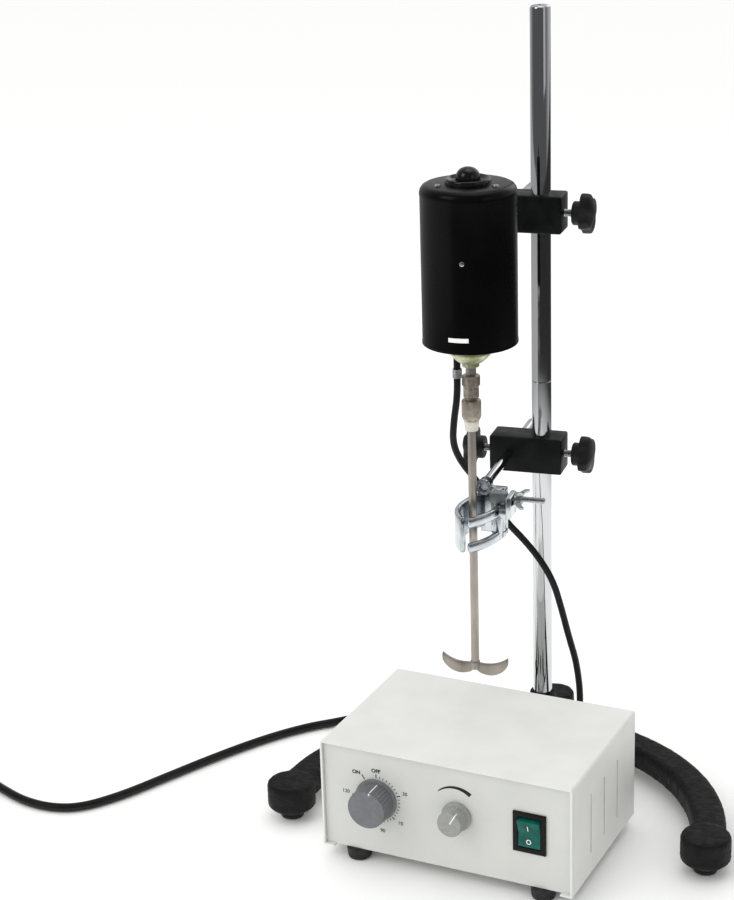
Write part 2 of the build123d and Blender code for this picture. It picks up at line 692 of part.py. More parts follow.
def wing_nut():
    """A boss with two flat wings, on the clamp's stud."""
    x = WEB_X + CLEAR
    boss = Pos(x, CLAMP_STUD_Y, CLAMP_STUD_Z) * Rot(0, 90, 0) * Cone(5.5, 4, 6, align=(Align.CENTER, Align.CENTER, Align.MIN))
    wing = [(0, 3), (2.5, 4), (6, 11), (10, 13.5), (12, 11), (9, 4), (6, 1), (0, 0)]
    for turn in (0, 180):
        blade = prism([(x_, z_) for x_, z_ in wing], -1.2, 1.2)
        boss += Pos(x, CLAMP_STUD_Y, CLAMP_STUD_Z) * Rot(turn + 20, 0, 0) * blade
    return boss - bar_x(CLAMP_STUD_R + RUN, 0, 60, CLAMP_STUD_Y, CLAMP_STUD_Z)


def make_clamp():
    rod = bar_y(ROD_R, YOKE_BACK - 5, CLAMP_ROD_REAR, ROD_X, LOWER_HEAD_Z)
    keep("clamp_rod", chamfer(rod.edges().sort_by(Axis.Y)[-1], 0.8))
    keep("clamp_frame", clamp_frame())
    pin = disc(PIN_R, JAW_LOW - EAR_T - 1, JAW_HIGH + EAR_T, PIVOT_X, PIVOT_Y)
    for z in (JAW_LOW - EAR_T - 1.8, JAW_HIGH + EAR_T):
        pin += disc(PIN_R + 1, z, z + 1.8, PIVOT_X, PIVOT_Y)
    stud = bar_x(CLAMP_STUD_R, PIVOT_X + 1, CLAMP_STUD_END, CLAMP_STUD_Y, CLAMP_STUD_Z)
    keep("clamp_pins", pin, stud)
    keep("moving_jaw", moving_jaw())
    keep("wing_nut", wing_nut())


# ---------------------------------------------------------------- control box
BOX = Pos(BOX_X, BOX_Y, 0) * Rot(0, 0, BOX_YAW)
PANEL_Y = -BOX_D / 2 + PANEL_IN
REAR_Y = BOX_D / 2 - PANEL_IN
BOX_TOP = BOX_LOW + BOX_H
FLOOR = BOX_LOW + SHEET
INSIDE = BOX_W / 2 - SHEET


def front(x, z):
    """Places a piece on the front panel: its +Z points out of the panel."""
    return BOX * Pos(x, PANEL_Y, z) * Rot(90, 0, 0)


def rear(x, z):
    """Places a piece on the rear panel: its +Z points out of the panel."""
    return BOX * Pos(x, REAR_Y, z) * Rot(-90, 0, 0)


def foot_corners():
    return [(x, y) for x in (-BOX_FOOT_X, BOX_FOOT_X) for y in (-BOX_FOOT_Y, BOX_FOOT_Y)]


def box_cover():
    """The folded top and sides, with lips that turn in under the chassis."""
    outer = block((-BOX_W / 2, BOX_W / 2), (-BOX_D / 2, BOX_D / 2), (BOX_LOW, BOX_TOP))
    outer = fillet(outer.edges().filter_by(Axis.Y).sort_by(Axis.Z)[-2:], 2.2)
    hollow = block((-INSIDE, INSIDE), (-BOX_D, BOX_D), (FLOOR, BOX_TOP - SHEET))
    hollow = fillet(hollow.edges().filter_by(Axis.Y).sort_by(Axis.Z)[-2:], 0.8)
    cover = outer - hollow
    cover -= block((-INSIDE + 8, INSIDE - 8), (-BOX_D, BOX_D), (0, FLOOR + 1))
    middle = BOX_LOW + BOX_H * 0.47
    for n in (-1, 0, 1):
        y = n * SLOT_PITCH
        cover -= block((-BOX_W, BOX_W), (y - SLOT_W / 2, y + SLOT_W / 2), (middle - SLOT_L / 2, middle + SLOT_L / 2))
    for x, y in lip_screws():
        cover -= disc(1.5 + SEAT, 0, FLOOR + 1, x, y)
    return BOX * cover


def lip_screws():
    return [(x, y) for x in (-INSIDE + 4, INSIDE - 4) for y in (29.35 - BOX_D / 2, BOX_D / 2 - 29.35)]


def box_chassis():
    """The floor with the front and rear panels turned up from it."""
    wide = INSIDE - 0.2
    ceiling = BOX_TOP - SHEET - 0.4
    low_y, high_y = PANEL_Y, REAR_Y
    tray = block((-wide, wide), (low_y, high_y), (FLOOR, FLOOR + SHEET))
    tray += block((-wide, wide), (low_y, low_y + SHEET), (FLOOR, ceiling))
    tray += block((-wide, wide), (high_y - SHEET, high_y), (FLOOR, ceiling))
    tray = BOX * tray
    for x, z, r in ((TIMER_X, TIMER_Z, 5), (SPEED_X, SPEED_Z, 3.5)):
        tray -= front(x, z) * disc(r + SEAT, -9, 9)
    cut = block((-11, 11), (-14, 14), (-9, 9))
    tray -= front(SWITCH_X, SWITCH_Z) * cut
    for x, z, r in ((GLAND_X, GLAND_Z, 6), (SOCKET_X, SOCKET_Z, 8), (FUSE_X, FUSE_Z, 6)):
        tray -= rear(x, z) * disc(r + SEAT, -9, 9)
    for x, y in lip_screws():
        tray -= BOX * disc(1.5 + SEAT, 0, 30, x, y)
    for x, y in foot_corners():
        tray -= BOX * disc(2 + SEAT, 0, 30, x, y)
    return tray


def box_feet():
    feet = []
    for x, y in foot_corners():
        high = FLOOR
        outline = [(2 + SEAT, 3), (5, 3), (5, 0), (BOX_FOOT_R - 1.5, 0), (BOX_FOOT_R, high), (2 + SEAT, high)]
        feet.append(BOX * turned(outline, {(BOX_FOOT_R - 1.5, 0): 1}, x, y))
    return feet


def box_screws():
    """The screws through the feet and through the cover's lips."""
    solids = []
    for x, y in foot_corners():
        solids.append(BOX * (disc(3.6, 1, 3, x, y) + disc(2, 3, FLOOR + SHEET + 4, x, y)))
    for x, y in lip_screws():
        solids.append(BOX * (disc(2.8, BOX_LOW - 1.8, BOX_LOW, x, y) + disc(1.5, BOX_LOW, FLOOR + 5, x, y)))
    return solids


def dial_nut(radius, bore):
    return extrude(RegularPolygon(radius, 6), 2) - disc(bore + SEAT, -1, 3)


def make_dials():
    at = front(TIMER_X, TIMER_Z)
    body = block((-22, 22), (-22, 22), (-SHEET - 24, -SHEET)) + disc(5, -SHEET - 1, 3.2)
    body -= disc(SPINDLE_R + RUN, -SHEET - 14, 10)
    keep("timer_body", at * body, at * dial_nut(7.5, 5))
    knob = turned([(0, 0.8), (TIMER_SKIRT_R, 0.8), (TIMER_SKIRT_R - 1, 4.8), (0, 4.8)])
    knob += fluted(TIMER_KNOB_R, 0.7, 36, 4.8, TIMER_KNOB - 0.8)
    knob += turned([(0, 10), (TIMER_KNOB_R - 1, 10), (TIMER_KNOB_R - 1, TIMER_KNOB), (0, TIMER_KNOB)])
    knob -= disc(9.5, 0, 3.6) + disc(SPINDLE_R + SEAT, 0, 14)
    spindle = disc(SPINDLE_R, -SHEET - 12, 14)
    pointer = block((-0.6, 0.6), (3, TIMER_KNOB_R - 1.5), (TIMER_KNOB - 0.5, TIMER_KNOB + 1))
    keep("timer_knob", at * (knob - pointer), at * spindle)

    at = front(SPEED_X, SPEED_Z)
    body = disc(12, -SHEET - 12, -SHEET) + disc(3.5, -SHEET - 1, 2.6)
    body -= disc(SPINDLE_R - 0.5 + RUN, -SHEET - 9, 10)
    keep("speed_control", at * body, at * dial_nut(6, 3.5))
    turn = Rot(0, 0, -30)
    knob = turned([(0, 0.8), (SPEED_SKIRT_R, 0.8), (SPEED_SKIRT_R - 0.8, 3.4), (0, 3.4)])
    knob += fluted(SPEED_KNOB_R, 0.5, 24, 3.4, SPEED_KNOB - 0.6)
    cap = [(0, 8), (SPEED_KNOB_R - 0.7, 8), (SPEED_KNOB_R - 0.7, SPEED_KNOB), (0, SPEED_KNOB)]
    knob += turned(cap, {(SPEED_KNOB_R - 0.7, SPEED_KNOB): 0.5})
    knob -= disc(7.2, 0, 2.9) + disc(SPINDLE_R - 0.5 + SEAT, 0, 12)
    spindle = disc(SPINDLE_R - 0.5, -SHEET - 8, 12)
    pointer = block((-0.5, 0.5), (2, SPEED_KNOB_R - 1), (SPEED_KNOB - 0.4, SPEED_KNOB + 1))
    keep("speed_knob", at * turn * (knob - pointer), at * spindle)


def make_switch():
    at = front(SWITCH_X, SWITCH_Z)
    shell = block((-BEZEL_W / 2, BEZEL_W / 2), (-BEZEL_H / 2, BEZEL_H / 2), (0, BEZEL_T))
    shell = chamfer(shell.edges().group_by(Axis.Z)[-1], 0.6)
    shell += block((-10.95, 10.95), (-13.95, 13.95), (-20, 0.5))
    window = block((-ROCKER_W / 2 - 0.2, ROCKER_W / 2 + 0.2), (-12.8, 12.8), (-14, 5))
    shell -= window
    pivot = -1.0
    shell -= bar_x(1.5 + RUN, -10.6, 10.6, 0, pivot)
    keep("switch_housing", at * shell)
    half = ROCKER_L / 2
    side = [(-half, -5), (half, -5), (half, 3.4), (0, 1.3), (-half, 3.4)]
    face = Plane.YZ * make_face(Polyline(*side, close=True))
    rocker = Pos(-ROCKER_W / 2, 0, 0) * extrude(face, ROCKER_W)
    rocker += bar_x(1.5, -10.4, 10.4, 0, pivot)
    rocker = Pos(0, 0, pivot) * Rot(ROCKER_TILT, 0, 0) * Pos(0, 0, -pivot) * rocker
    keep("switch_rocker", at * rocker)


def make_electronics():
    """The speed circuit, its supports and its transformer, on the box's floor."""
    floor = FLOOR + SHEET
    deck = floor + 8
    right = INSIDE - 52
    front_edge, rear_edge = REAR_Y - 96.35, REAR_Y - 28.35
    board = block((-45, right), (front_edge, rear_edge), (deck, deck + 1.6))
    posts = []
    for x in (-40, right - 5):
        for y in (front_edge + 5, rear_edge - 5):
            posts.append(BOX * disc(3, floor, deck, x, y))
            board -= disc(1.2, deck - 1, deck + 3, x, y)
    top = deck + 1.6
    web = rear_edge - 18
    sink = block((-36, 0), (web, web + 3), (top, top + 32))
    for n in range(7):
        x = -35 + 5.5 * n
        sink += block((x, x + 1.5), (web + 3, web + 12), (top, top + 32))
    cans = [disc(8, top, top + 24, right - 25, web - 28), disc(5, top, top + 14, right - 45, web - 32)]
    triac = block((-23, -13), (web - 4.5, web), (top + 3, top + 18))
    keep("circuit_board", *[BOX * s for s in (board, *cans, triac)])
    keep("board_standoffs", *posts)
    keep("heat_sink", BOX * sink)
    left, near, tall = INSIDE - 44, REAR_Y - 58.35, 40
    core = block((left, left + 38), (near, near + 46), (floor, floor + tall))
    for low in (6, 29):
        core -= block((left - 9, INSIDE), (near + low, near + low + 11), (floor + 8, floor + tall - 8))
    coil = block((left - 6, left + 43.5), (near + 6.2, near + 39.8), (floor + 8.2, floor + tall - 8.2))
    middle = (near + 17 - SEAT, near + 29 + SEAT)
    window = block((left - 0.1, left + 38.1), middle, (floor + 7, floor + tall - 7))
    keep("transformer", BOX * core, BOX * (coil - window))


def make_rear_panel():
    at = rear(GLAND_X, GLAND_Z)
    nose = [(MAINS_CORD_R + SEAT, 0), (8.5, 0), (8.5, 3), (6, 4), (4.8, 17), (MAINS_CORD_R + SEAT, 17)]
    gland = turned(nose) + disc(6, -SHEET - 6, 0.5)
    gland -= disc(MAINS_CORD_R + SEAT, -20, 30)
    keep("cord_gland", at * gland)
    at = rear(SOCKET_X, SOCKET_Z)
    socket = disc(11, 0, 2) + disc(8, -SHEET - 10, 1) + disc(7.2, 1, 8)
    keep("motor_socket", at * (socket - disc(5.5, -5, 9)))
    plug = [(5.4, -4), (5.4, 8.1), (9, 8.1), (9, 16), (6.5, 19)]
    plug += [(4.2, PANEL_IN + 25), (0, PANEL_IN + 25), (0, -4)]
    keep("motor_plug", at * turned(plug, {(9, 16): 2}))
    at = rear(FUSE_X, FUSE_Z)
    fuse = disc(8, 0, 3) + disc(6, -SHEET - 30, 1) + fluted(6.5, 0.6, 18, 3, 10)
    keep("fuse_holder", at * fuse)


def make_box():
    keep("box_cover", box_cover())
    keep("box_chassis", box_chassis())
    keep("box_feet", *box_feet())
    keep("box_screws", *box_screws())
    make_dials()
    make_switch()
    make_electronics()
    make_rear_panel()


# ---------------------------------------------------------------- cords
def make_cords():
    keep("motor_cord", tube_route("motor cord", MOTOR_CORD_ROUTE, MOTOR_CORD_R))
    x, y, z = MOTOR_CORD_ROUTE[1]
    band = disc(MOTOR_CORD_R + 0.9, z - 5, z + 2) - disc(MOTOR_CORD_R + 0.25, z - 6, z + 3)
    keep("cord_ferrule", Pos(x, y, 0) * band)
    keep("mains_cord", tube_route("mains cord", MAINS_CORD_ROUTE, MAINS_CORD_R))
    half = MAINS_CORD_R * COIL_LAYERS
    inner, outer = COIL_TURN_R - half, COIL_TURN_R + half
    ring = [(inner, 0), (outer, 0), (outer, 2 * half), (inner, 2 * half)]
    rounding = {p: MAINS_CORD_R for p in ring}
    keep("mains_coil", turned(ring, rounding, COIL_X, COIL_Y))
    print("mains coil holds", round(COIL_LAYERS**2 * 2 * pi * COIL_TURN_R), "mm of cord")
    strap = block((outer + 0.1, outer + 1.3), (-4, 4), (0, 2 * half + 1.3))
    strap += block((inner - 1.6, inner - 0.4), (-4, 4), (0, 2 * half + 1.3))
    strap += block((inner - 1.6, outer + 1.3), (-4, 4), (2 * half + 0.1, 2 * half + 1.3))
    keep("coil_tie", Pos(COIL_X, COIL_Y, 0) * Rot(0, 0, 290) * strap)
    make_mains_plug()


def make_mains_plug():
    """A moulded two-pin plug lying beside the coil, its strain relief towards the last turn."""
    at = Pos(COIL_X - COIL_TURN_R - MAINS_CORD_R, COIL_Y, 3 * MAINS_CORD_R) * Rot(0, 0, -90)
    relief = turned([(0, 2), (MAINS_CORD_R + 0.6, 2), (5.6, 40), (0, 40)])
    body = Pos(59, 0, 0) * Box(38, 30, 20.5)
    body = fillet(body.edges().filter_by(Axis.Z), 6)
    body = chamfer(body.edges().group_by(Axis.X)[-1], 1)
    plug = Rot(0, 90, 0) * relief + body
    for y in (-6.35, 6.35):
        slot = Pos(76, y, 0) * Box(8, 1.7, 6.6)
        plug -= slot
        keep("plug_pins", at * Pos(84, y, 0) * Box(23.8, 1.5, 6.4))
    keep("mains_plug", at * plug)


# ---------------------------------------------------------------- all together
ON_CORD = {"motor_cord", "cord_ferrule", "motor_plug", "mains_cord", "mains_coil", "coil_tie", "mains_plug", "plug_pins"}


def write_parts():
    """Moves every node so that the origin is under the middle of the machine's own box."""
    body = [s for node, solids in parts.items() if node not in ON_CORD for s in solids]
    box = Compound(children=[s.moved(Location()) for s in body]).bounding_box()
    shift = Location((-(box.min.X + box.max.X) / 2, -(box.min.Y + box.max.Y) / 2, -box.min.Z))
    print("row origin is the stand's axis moved by", shift.position, "box", box.size)
    os.makedirs("parts", exist_ok=True)
    for node, solids in parts.items():
        moved = [s.moved(shift) for s in solids]
        export_step(moved[0] if len(moved) == 1 else Compound(children=moved), f"parts/{node}.step")


make_stand()
make_heads()
make_motor()
make_rotor()
make_stirrer()
make_clamp()
make_box()
make_cords()
write_parts()
print(len(parts), "nodes")
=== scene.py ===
import math

import bmesh
import bpy
from mathutils import Matrix, Vector


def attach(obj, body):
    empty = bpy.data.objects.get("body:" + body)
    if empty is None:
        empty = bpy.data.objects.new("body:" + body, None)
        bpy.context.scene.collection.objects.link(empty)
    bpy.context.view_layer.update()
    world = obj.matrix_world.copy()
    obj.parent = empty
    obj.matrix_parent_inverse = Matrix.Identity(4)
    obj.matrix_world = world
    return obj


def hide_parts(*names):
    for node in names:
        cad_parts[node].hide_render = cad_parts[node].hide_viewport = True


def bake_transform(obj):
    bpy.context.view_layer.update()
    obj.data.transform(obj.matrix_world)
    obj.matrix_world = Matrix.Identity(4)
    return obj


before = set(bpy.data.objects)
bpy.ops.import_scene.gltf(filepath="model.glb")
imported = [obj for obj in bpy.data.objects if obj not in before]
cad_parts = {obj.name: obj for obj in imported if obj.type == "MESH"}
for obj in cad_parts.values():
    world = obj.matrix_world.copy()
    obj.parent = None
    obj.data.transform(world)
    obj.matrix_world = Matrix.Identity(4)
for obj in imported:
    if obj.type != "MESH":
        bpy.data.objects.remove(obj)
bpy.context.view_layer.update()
print("frame loaded,", len(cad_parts), "nodes")


def shifted(x, y, z):
    return Matrix.Translation((x, y, z))


def spun(degrees, axis):
    return Matrix.Rotation(math.radians(degrees), 4, axis)


# Shapes are drawn in millimetres from the post's axis on the table top, as on the workshop
# drawing, and setDown moves each to its place in metres and to the body it travels with.
drawing = shifted(0, 0.0849844, 0) @ Matrix.Scale(0.001, 4)
controlBox = shifted(-10.8, -165.75, 0) @ spun(-7.95, "Z")
motorAxis = shifted(-25, -122, 0)


def onFront(x, z):  # a place on the front panel, with +Z coming out of it
    return controlBox @ shifted(x, -66.35, z) @ spun(90, "X")


def onRear(x, z):
    return controlBox @ shifted(x, 66.35, z) @ spun(-90, "X")


# ---- small helpers for modelling
def deselect():
    if bpy.context.mode != "OBJECT":
        bpy.ops.object.mode_set(mode="OBJECT")
    bpy.ops.object.select_all(action="DESELECT")


def only(piece):
    deselect()
    piece.select_set(True)
    bpy.context.view_layer.objects.active = piece


def named(name):
    piece = bpy.context.object
    piece.name = name
    piece.data.name = name
    return piece


def editing(piece, kind="FACE"):
    only(piece)
    bpy.ops.object.mode_set(mode="EDIT")
    bpy.ops.mesh.select_mode(type=kind)
    bpy.ops.mesh.select_all(action="DESELECT")


def selectAll():
    bpy.ops.mesh.select_all(action="SELECT")


def pickFaces(piece, test):  # test gets a face's middle and its normal
    mesh = bmesh.from_edit_mesh(piece.data)
    for face in mesh.faces:
        face.select_set(bool(test(face.calc_center_median(), face.normal)))
    mesh.select_flush_mode()
    bmesh.update_edit_mesh(piece.data)


def pickPoints(piece, test):
    mesh = bmesh.from_edit_mesh(piece.data)
    for point in mesh.verts:
        point.select_set(bool(test(point.co)))
    mesh.select_flush_mode()
    bmesh.update_edit_mesh(piece.data)


def pickEdges(piece, test):  # test gets an edge's two ends
    mesh = bmesh.from_edit_mesh(piece.data)
    for edge in mesh.edges:
        edge.select_set(bool(test(edge.verts[0].co, edge.verts[1].co)))
    bmesh.update_edit_mesh(piece.data)


def applied(piece, kind, **settings):
    only(piece)
    modifier = piece.modifiers.new(kind.title(), kind)
    for key, value in settings.items():
        setattr(modifier, key, value)
    bpy.ops.object.modifier_apply(modifier=modifier.name)
    return piece


def cutAway(piece, tool):  # takes the tool's shape out of the piece, and the tool away
    applied(piece, "BOOLEAN", object=tool, operation="DIFFERENCE")
    bpy.data.objects.remove(tool)


def eased(piece, width, segments=2, angle=30):
    return applied(piece, "BEVEL", width=width, segments=segments, angle_limit=math.radians(angle))


def closedUp(piece):  # doubles merged, then every face turned outwards
    editing(piece, "VERT")
    selectAll()
    bpy.ops.mesh.remove_doubles(threshold=0.002)
    bpy.ops.mesh.normals_make_consistent(inside=False)
    deselect()


def pointAt(name, spot):  # a piece that is one point so far, picked and ready to be drawn out
    deselect()
    bpy.ops.mesh.primitive_plane_add(size=1)
    piece = named(name)
    editing(piece, "VERT")
    selectAll()
    bpy.ops.mesh.merge(type="CENTER")
    bpy.ops.transform.translate(value=spot)
    return piece


def turned(name, outline, steps=72, sweep=2 * math.pi):
    # a lathe shape from (radius, height) points, drawn point by point and spun about +Z
    piece = pointAt(name, (outline[0][0], 0, outline[0][1]))
    for (r, z), (r2, z2) in zip(outline, outline[1:]):
        bpy.ops.mesh.extrude_vertices_move(TRANSFORM_OT_translate={"value": (r2 - r, 0, z2 - z)})
    selectAll()
    bpy.ops.mesh.spin(steps=steps, angle=sweep, center=(0, 0, 0), axis=(0, 0, -1))
    selectAll()
    bpy.ops.mesh.remove_doubles(threshold=0.002)
    bpy.ops.mesh.fill_holes(sides=0)
    closedUp(piece)
    return piece


def slab(name, size, middle, width=0.0, segments=2):
    # a block with eased edges
    deselect()
    bpy.ops.mesh.primitive_cube_add(size=1, location=middle)
    piece = named(name)
    piece.scale = size
    bpy.ops.object.transform_apply(location=True, rotation=True, scale=True)
    return eased(piece, width, segments) if width else piece


def moved(piece, place):
    only(piece)
    piece.matrix_world = place @ piece.matrix_world
    bpy.ops.object.transform_apply(location=True, rotation=True, scale=True)
    return piece


def copied(piece, name, place):
    copy = piece.copy()
    copy.data = piece.data.copy()
    copy.name = copy.data.name = name
    bpy.context.scene.collection.objects.link(copy)
    return moved(copy, place)


def joined(name, *pieces):
    only(pieces[0])
    for piece in pieces[1:]:
        piece.select_set(True)
    bpy.ops.object.join()
    return named(name)


def setDown(piece, body, finishName, place=None, angle=32, node=None):
    moved(piece, drawing @ (place or Matrix()))
    if piece.type == "MESH":
        bpy.ops.object.shade_smooth_by_angle(angle=math.radians(angle))
    piece.data.materials.clear()
    piece.data.materials.append(finishes[finishName])
    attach(piece, body)
    if node:
        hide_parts(node)


def fluted(piece, low, high, radius, count, depth, diamond=False):
    # presses in every other row of points between two heights, for flutes or a diamond knurl
    editing(piece, "VERT")
    rows = sorted({round(p.co.z, 3) for p in bmesh.from_edit_mesh(piece.data).verts})
    rows = [z for z in rows if low - 0.01 <= z <= high + 0.01]

    def pressed(co):
        if not low - 0.01 <= co.z <= high + 0.01 or abs(math.hypot(co.x, co.y) - radius) > 0.3:
            return False
        row = min(range(len(rows)), key=lambda n: abs(rows[n] - co.z)) if diamond else 0
        return (round(math.atan2(co.y, co.x) / (math.pi / count)) + row) % 2 == 1

    pickPoints(piece, pressed)
    share = 1 - depth / radius
    bpy.ops.transform.resize(value=(share, share, 1), center_override=(0, 0, 0))
    deselect()


def lettering(name, body, height, place, weight):
    # a printed mark: a film of ink 0.06 mm thick on the panel
    deselect()
    bpy.ops.object.text_add()
    text = bpy.context.object
    text.data.body = body
    text.data.size = height / 0.72
    text.data.align_x, text.data.align_y = "CENTER", "CENTER"
    text.data.extrude = 0.03
    text.data.offset = weight  # thickens the strokes
    bpy.ops.object.convert(target="MESH")
    setDown(named(name), "stand", "ink", place)


# ---- finishes
def hexColour(code):
    parts = [int(code[n : n + 2], 16) / 255 for n in (1, 3, 5)]
    return [p / 12.92 if p <= 0.04045 else ((p + 0.055) / 1.055) ** 2.4 for p in parts] + [1.0]


def addNode(tree, kind, links=None, **settings):
    node = tree.nodes.new("ShaderNode" + kind)
    for key, value in settings.items():
        if hasattr(node, key):
            setattr(node, key, value)
        else:
            node.inputs[key.replace("_", " ")].default_value = value
    for key, source in (links or {}).items():
        tree.links.new(source, node.inputs[key])
    return node


def perMetre(millimetres):  # a noise scale whose grain has that size
    return 1000 / millimetres


def startFinish(name, **sockets):
    material = bpy.data.materials.new(name)
    material.use_nodes = True
    tree = material.node_tree
    shader = tree.nodes["Principled BSDF"]
    for key, value in sockets.items():
        shader.inputs[key.replace("_", " ")].default_value = value
    return material, tree, shader, addNode(tree, "TexCoord").outputs["Object"]


def tinted(tree, shader, where, plain, worn, patch, stretch=(1, 1, 1)):
    # two close colours in soft patches of the given size in millimetres
    spread = addNode(tree, "Mapping", {"Vector": where}, Scale=stretch)
    clouds = addNode(tree, "TexNoise", {"Vector": spread.outputs[0]}, Scale=perMetre(patch), Detail=4.0)
    ramp = addNode(tree, "ValToRGB", {"Fac": clouds.outputs["Fac"]})
    ramp.color_ramp.elements[0].position = 0.35
    ramp.color_ramp.elements[1].position = 0.65
    ramp.color_ramp.elements[0].color = hexColour(plain)
    ramp.color_ramp.elements[1].color = hexColour(worn)
    tree.links.new(ramp.outputs["Color"], shader.inputs["Base Color"])


def sheen(tree, shader, where, low, high, patch, stretch=(1, 1, 1)):
    # roughness that wanders between two values
    spread = addNode(tree, "Mapping", {"Vector": where}, Scale=stretch)
    clouds = addNode(tree, "TexNoise", {"Vector": spread.outputs[0]}, Scale=perMetre(patch), Detail=3.0)
    limits = {"From_Min": 0.3, "From_Max": 0.7, "To_Min": low, "To_Max": high}
    span = addNode(tree, "MapRange", {"Value": clouds.outputs["Fac"]}, **limits)
    tree.links.new(span.outputs["Result"], shader.inputs["Roughness"])


def grained(tree, shader, where, grain, depth, stretch=(1, 1, 1)):
    # a raised grain, its size and depth in millimetres
    spread = addNode(tree, "Mapping", {"Vector": where}, Scale=stretch)
    noise = addNode(tree, "TexNoise", {"Vector": spread.outputs[0]}, Scale=perMetre(grain), Detail=2.0)
    bump = addNode(tree, "Bump", {"Height": noise.outputs["Fac"]}, Strength=1.0, Distance=depth / 1000)
    tree.links.new(bump.outputs["Normal"], shader.inputs["Normal"])


def wrinkleEnamel():
    # black wrinkle enamel stoved on cast iron: dull hills a millimetre or two across,
    # grey where they catch light
    material, tree, shader, where = startFinish("wrinkleEnamel", Specular_IOR_Level=0.24)
    tinted(tree, shader, where, "#0A0B0B", "#121313", 9)
    sheen(tree, shader, where, 0.52, 0.72, 6)
    cells = addNode(
        tree, "TexVoronoi", {"Vector": where}, Scale=perMetre(1.9), feature="SMOOTH_F1", Smoothness=0.6
    )
    fine = addNode(tree, "TexNoise", {"Vector": where}, Scale=perMetre(0.9), Detail=3.0)
    hills = addNode(tree, "Math", {0: cells.outputs["Distance"], 1: fine.outputs["Fac"]}, operation="ADD")
    bump = addNode(tree, "Bump", {"Height": hills.outputs["Value"]}, Strength=1.0, Distance=0.0003)
    tree.links.new(bump.outputs["Normal"], shader.inputs["Normal"])
    return material


def finish(name, tint, shine, grain, **sockets):
    # two colours and their patch, two roughnesses and theirs, then the grain's size and depth
    material, tree, shader, where = startFinish(name, **sockets)
    if tint:
        tinted(tree, shader, where, *tint)
    sheen(tree, shader, where, *shine)
    grained(tree, shader, where, *grain)
    return material


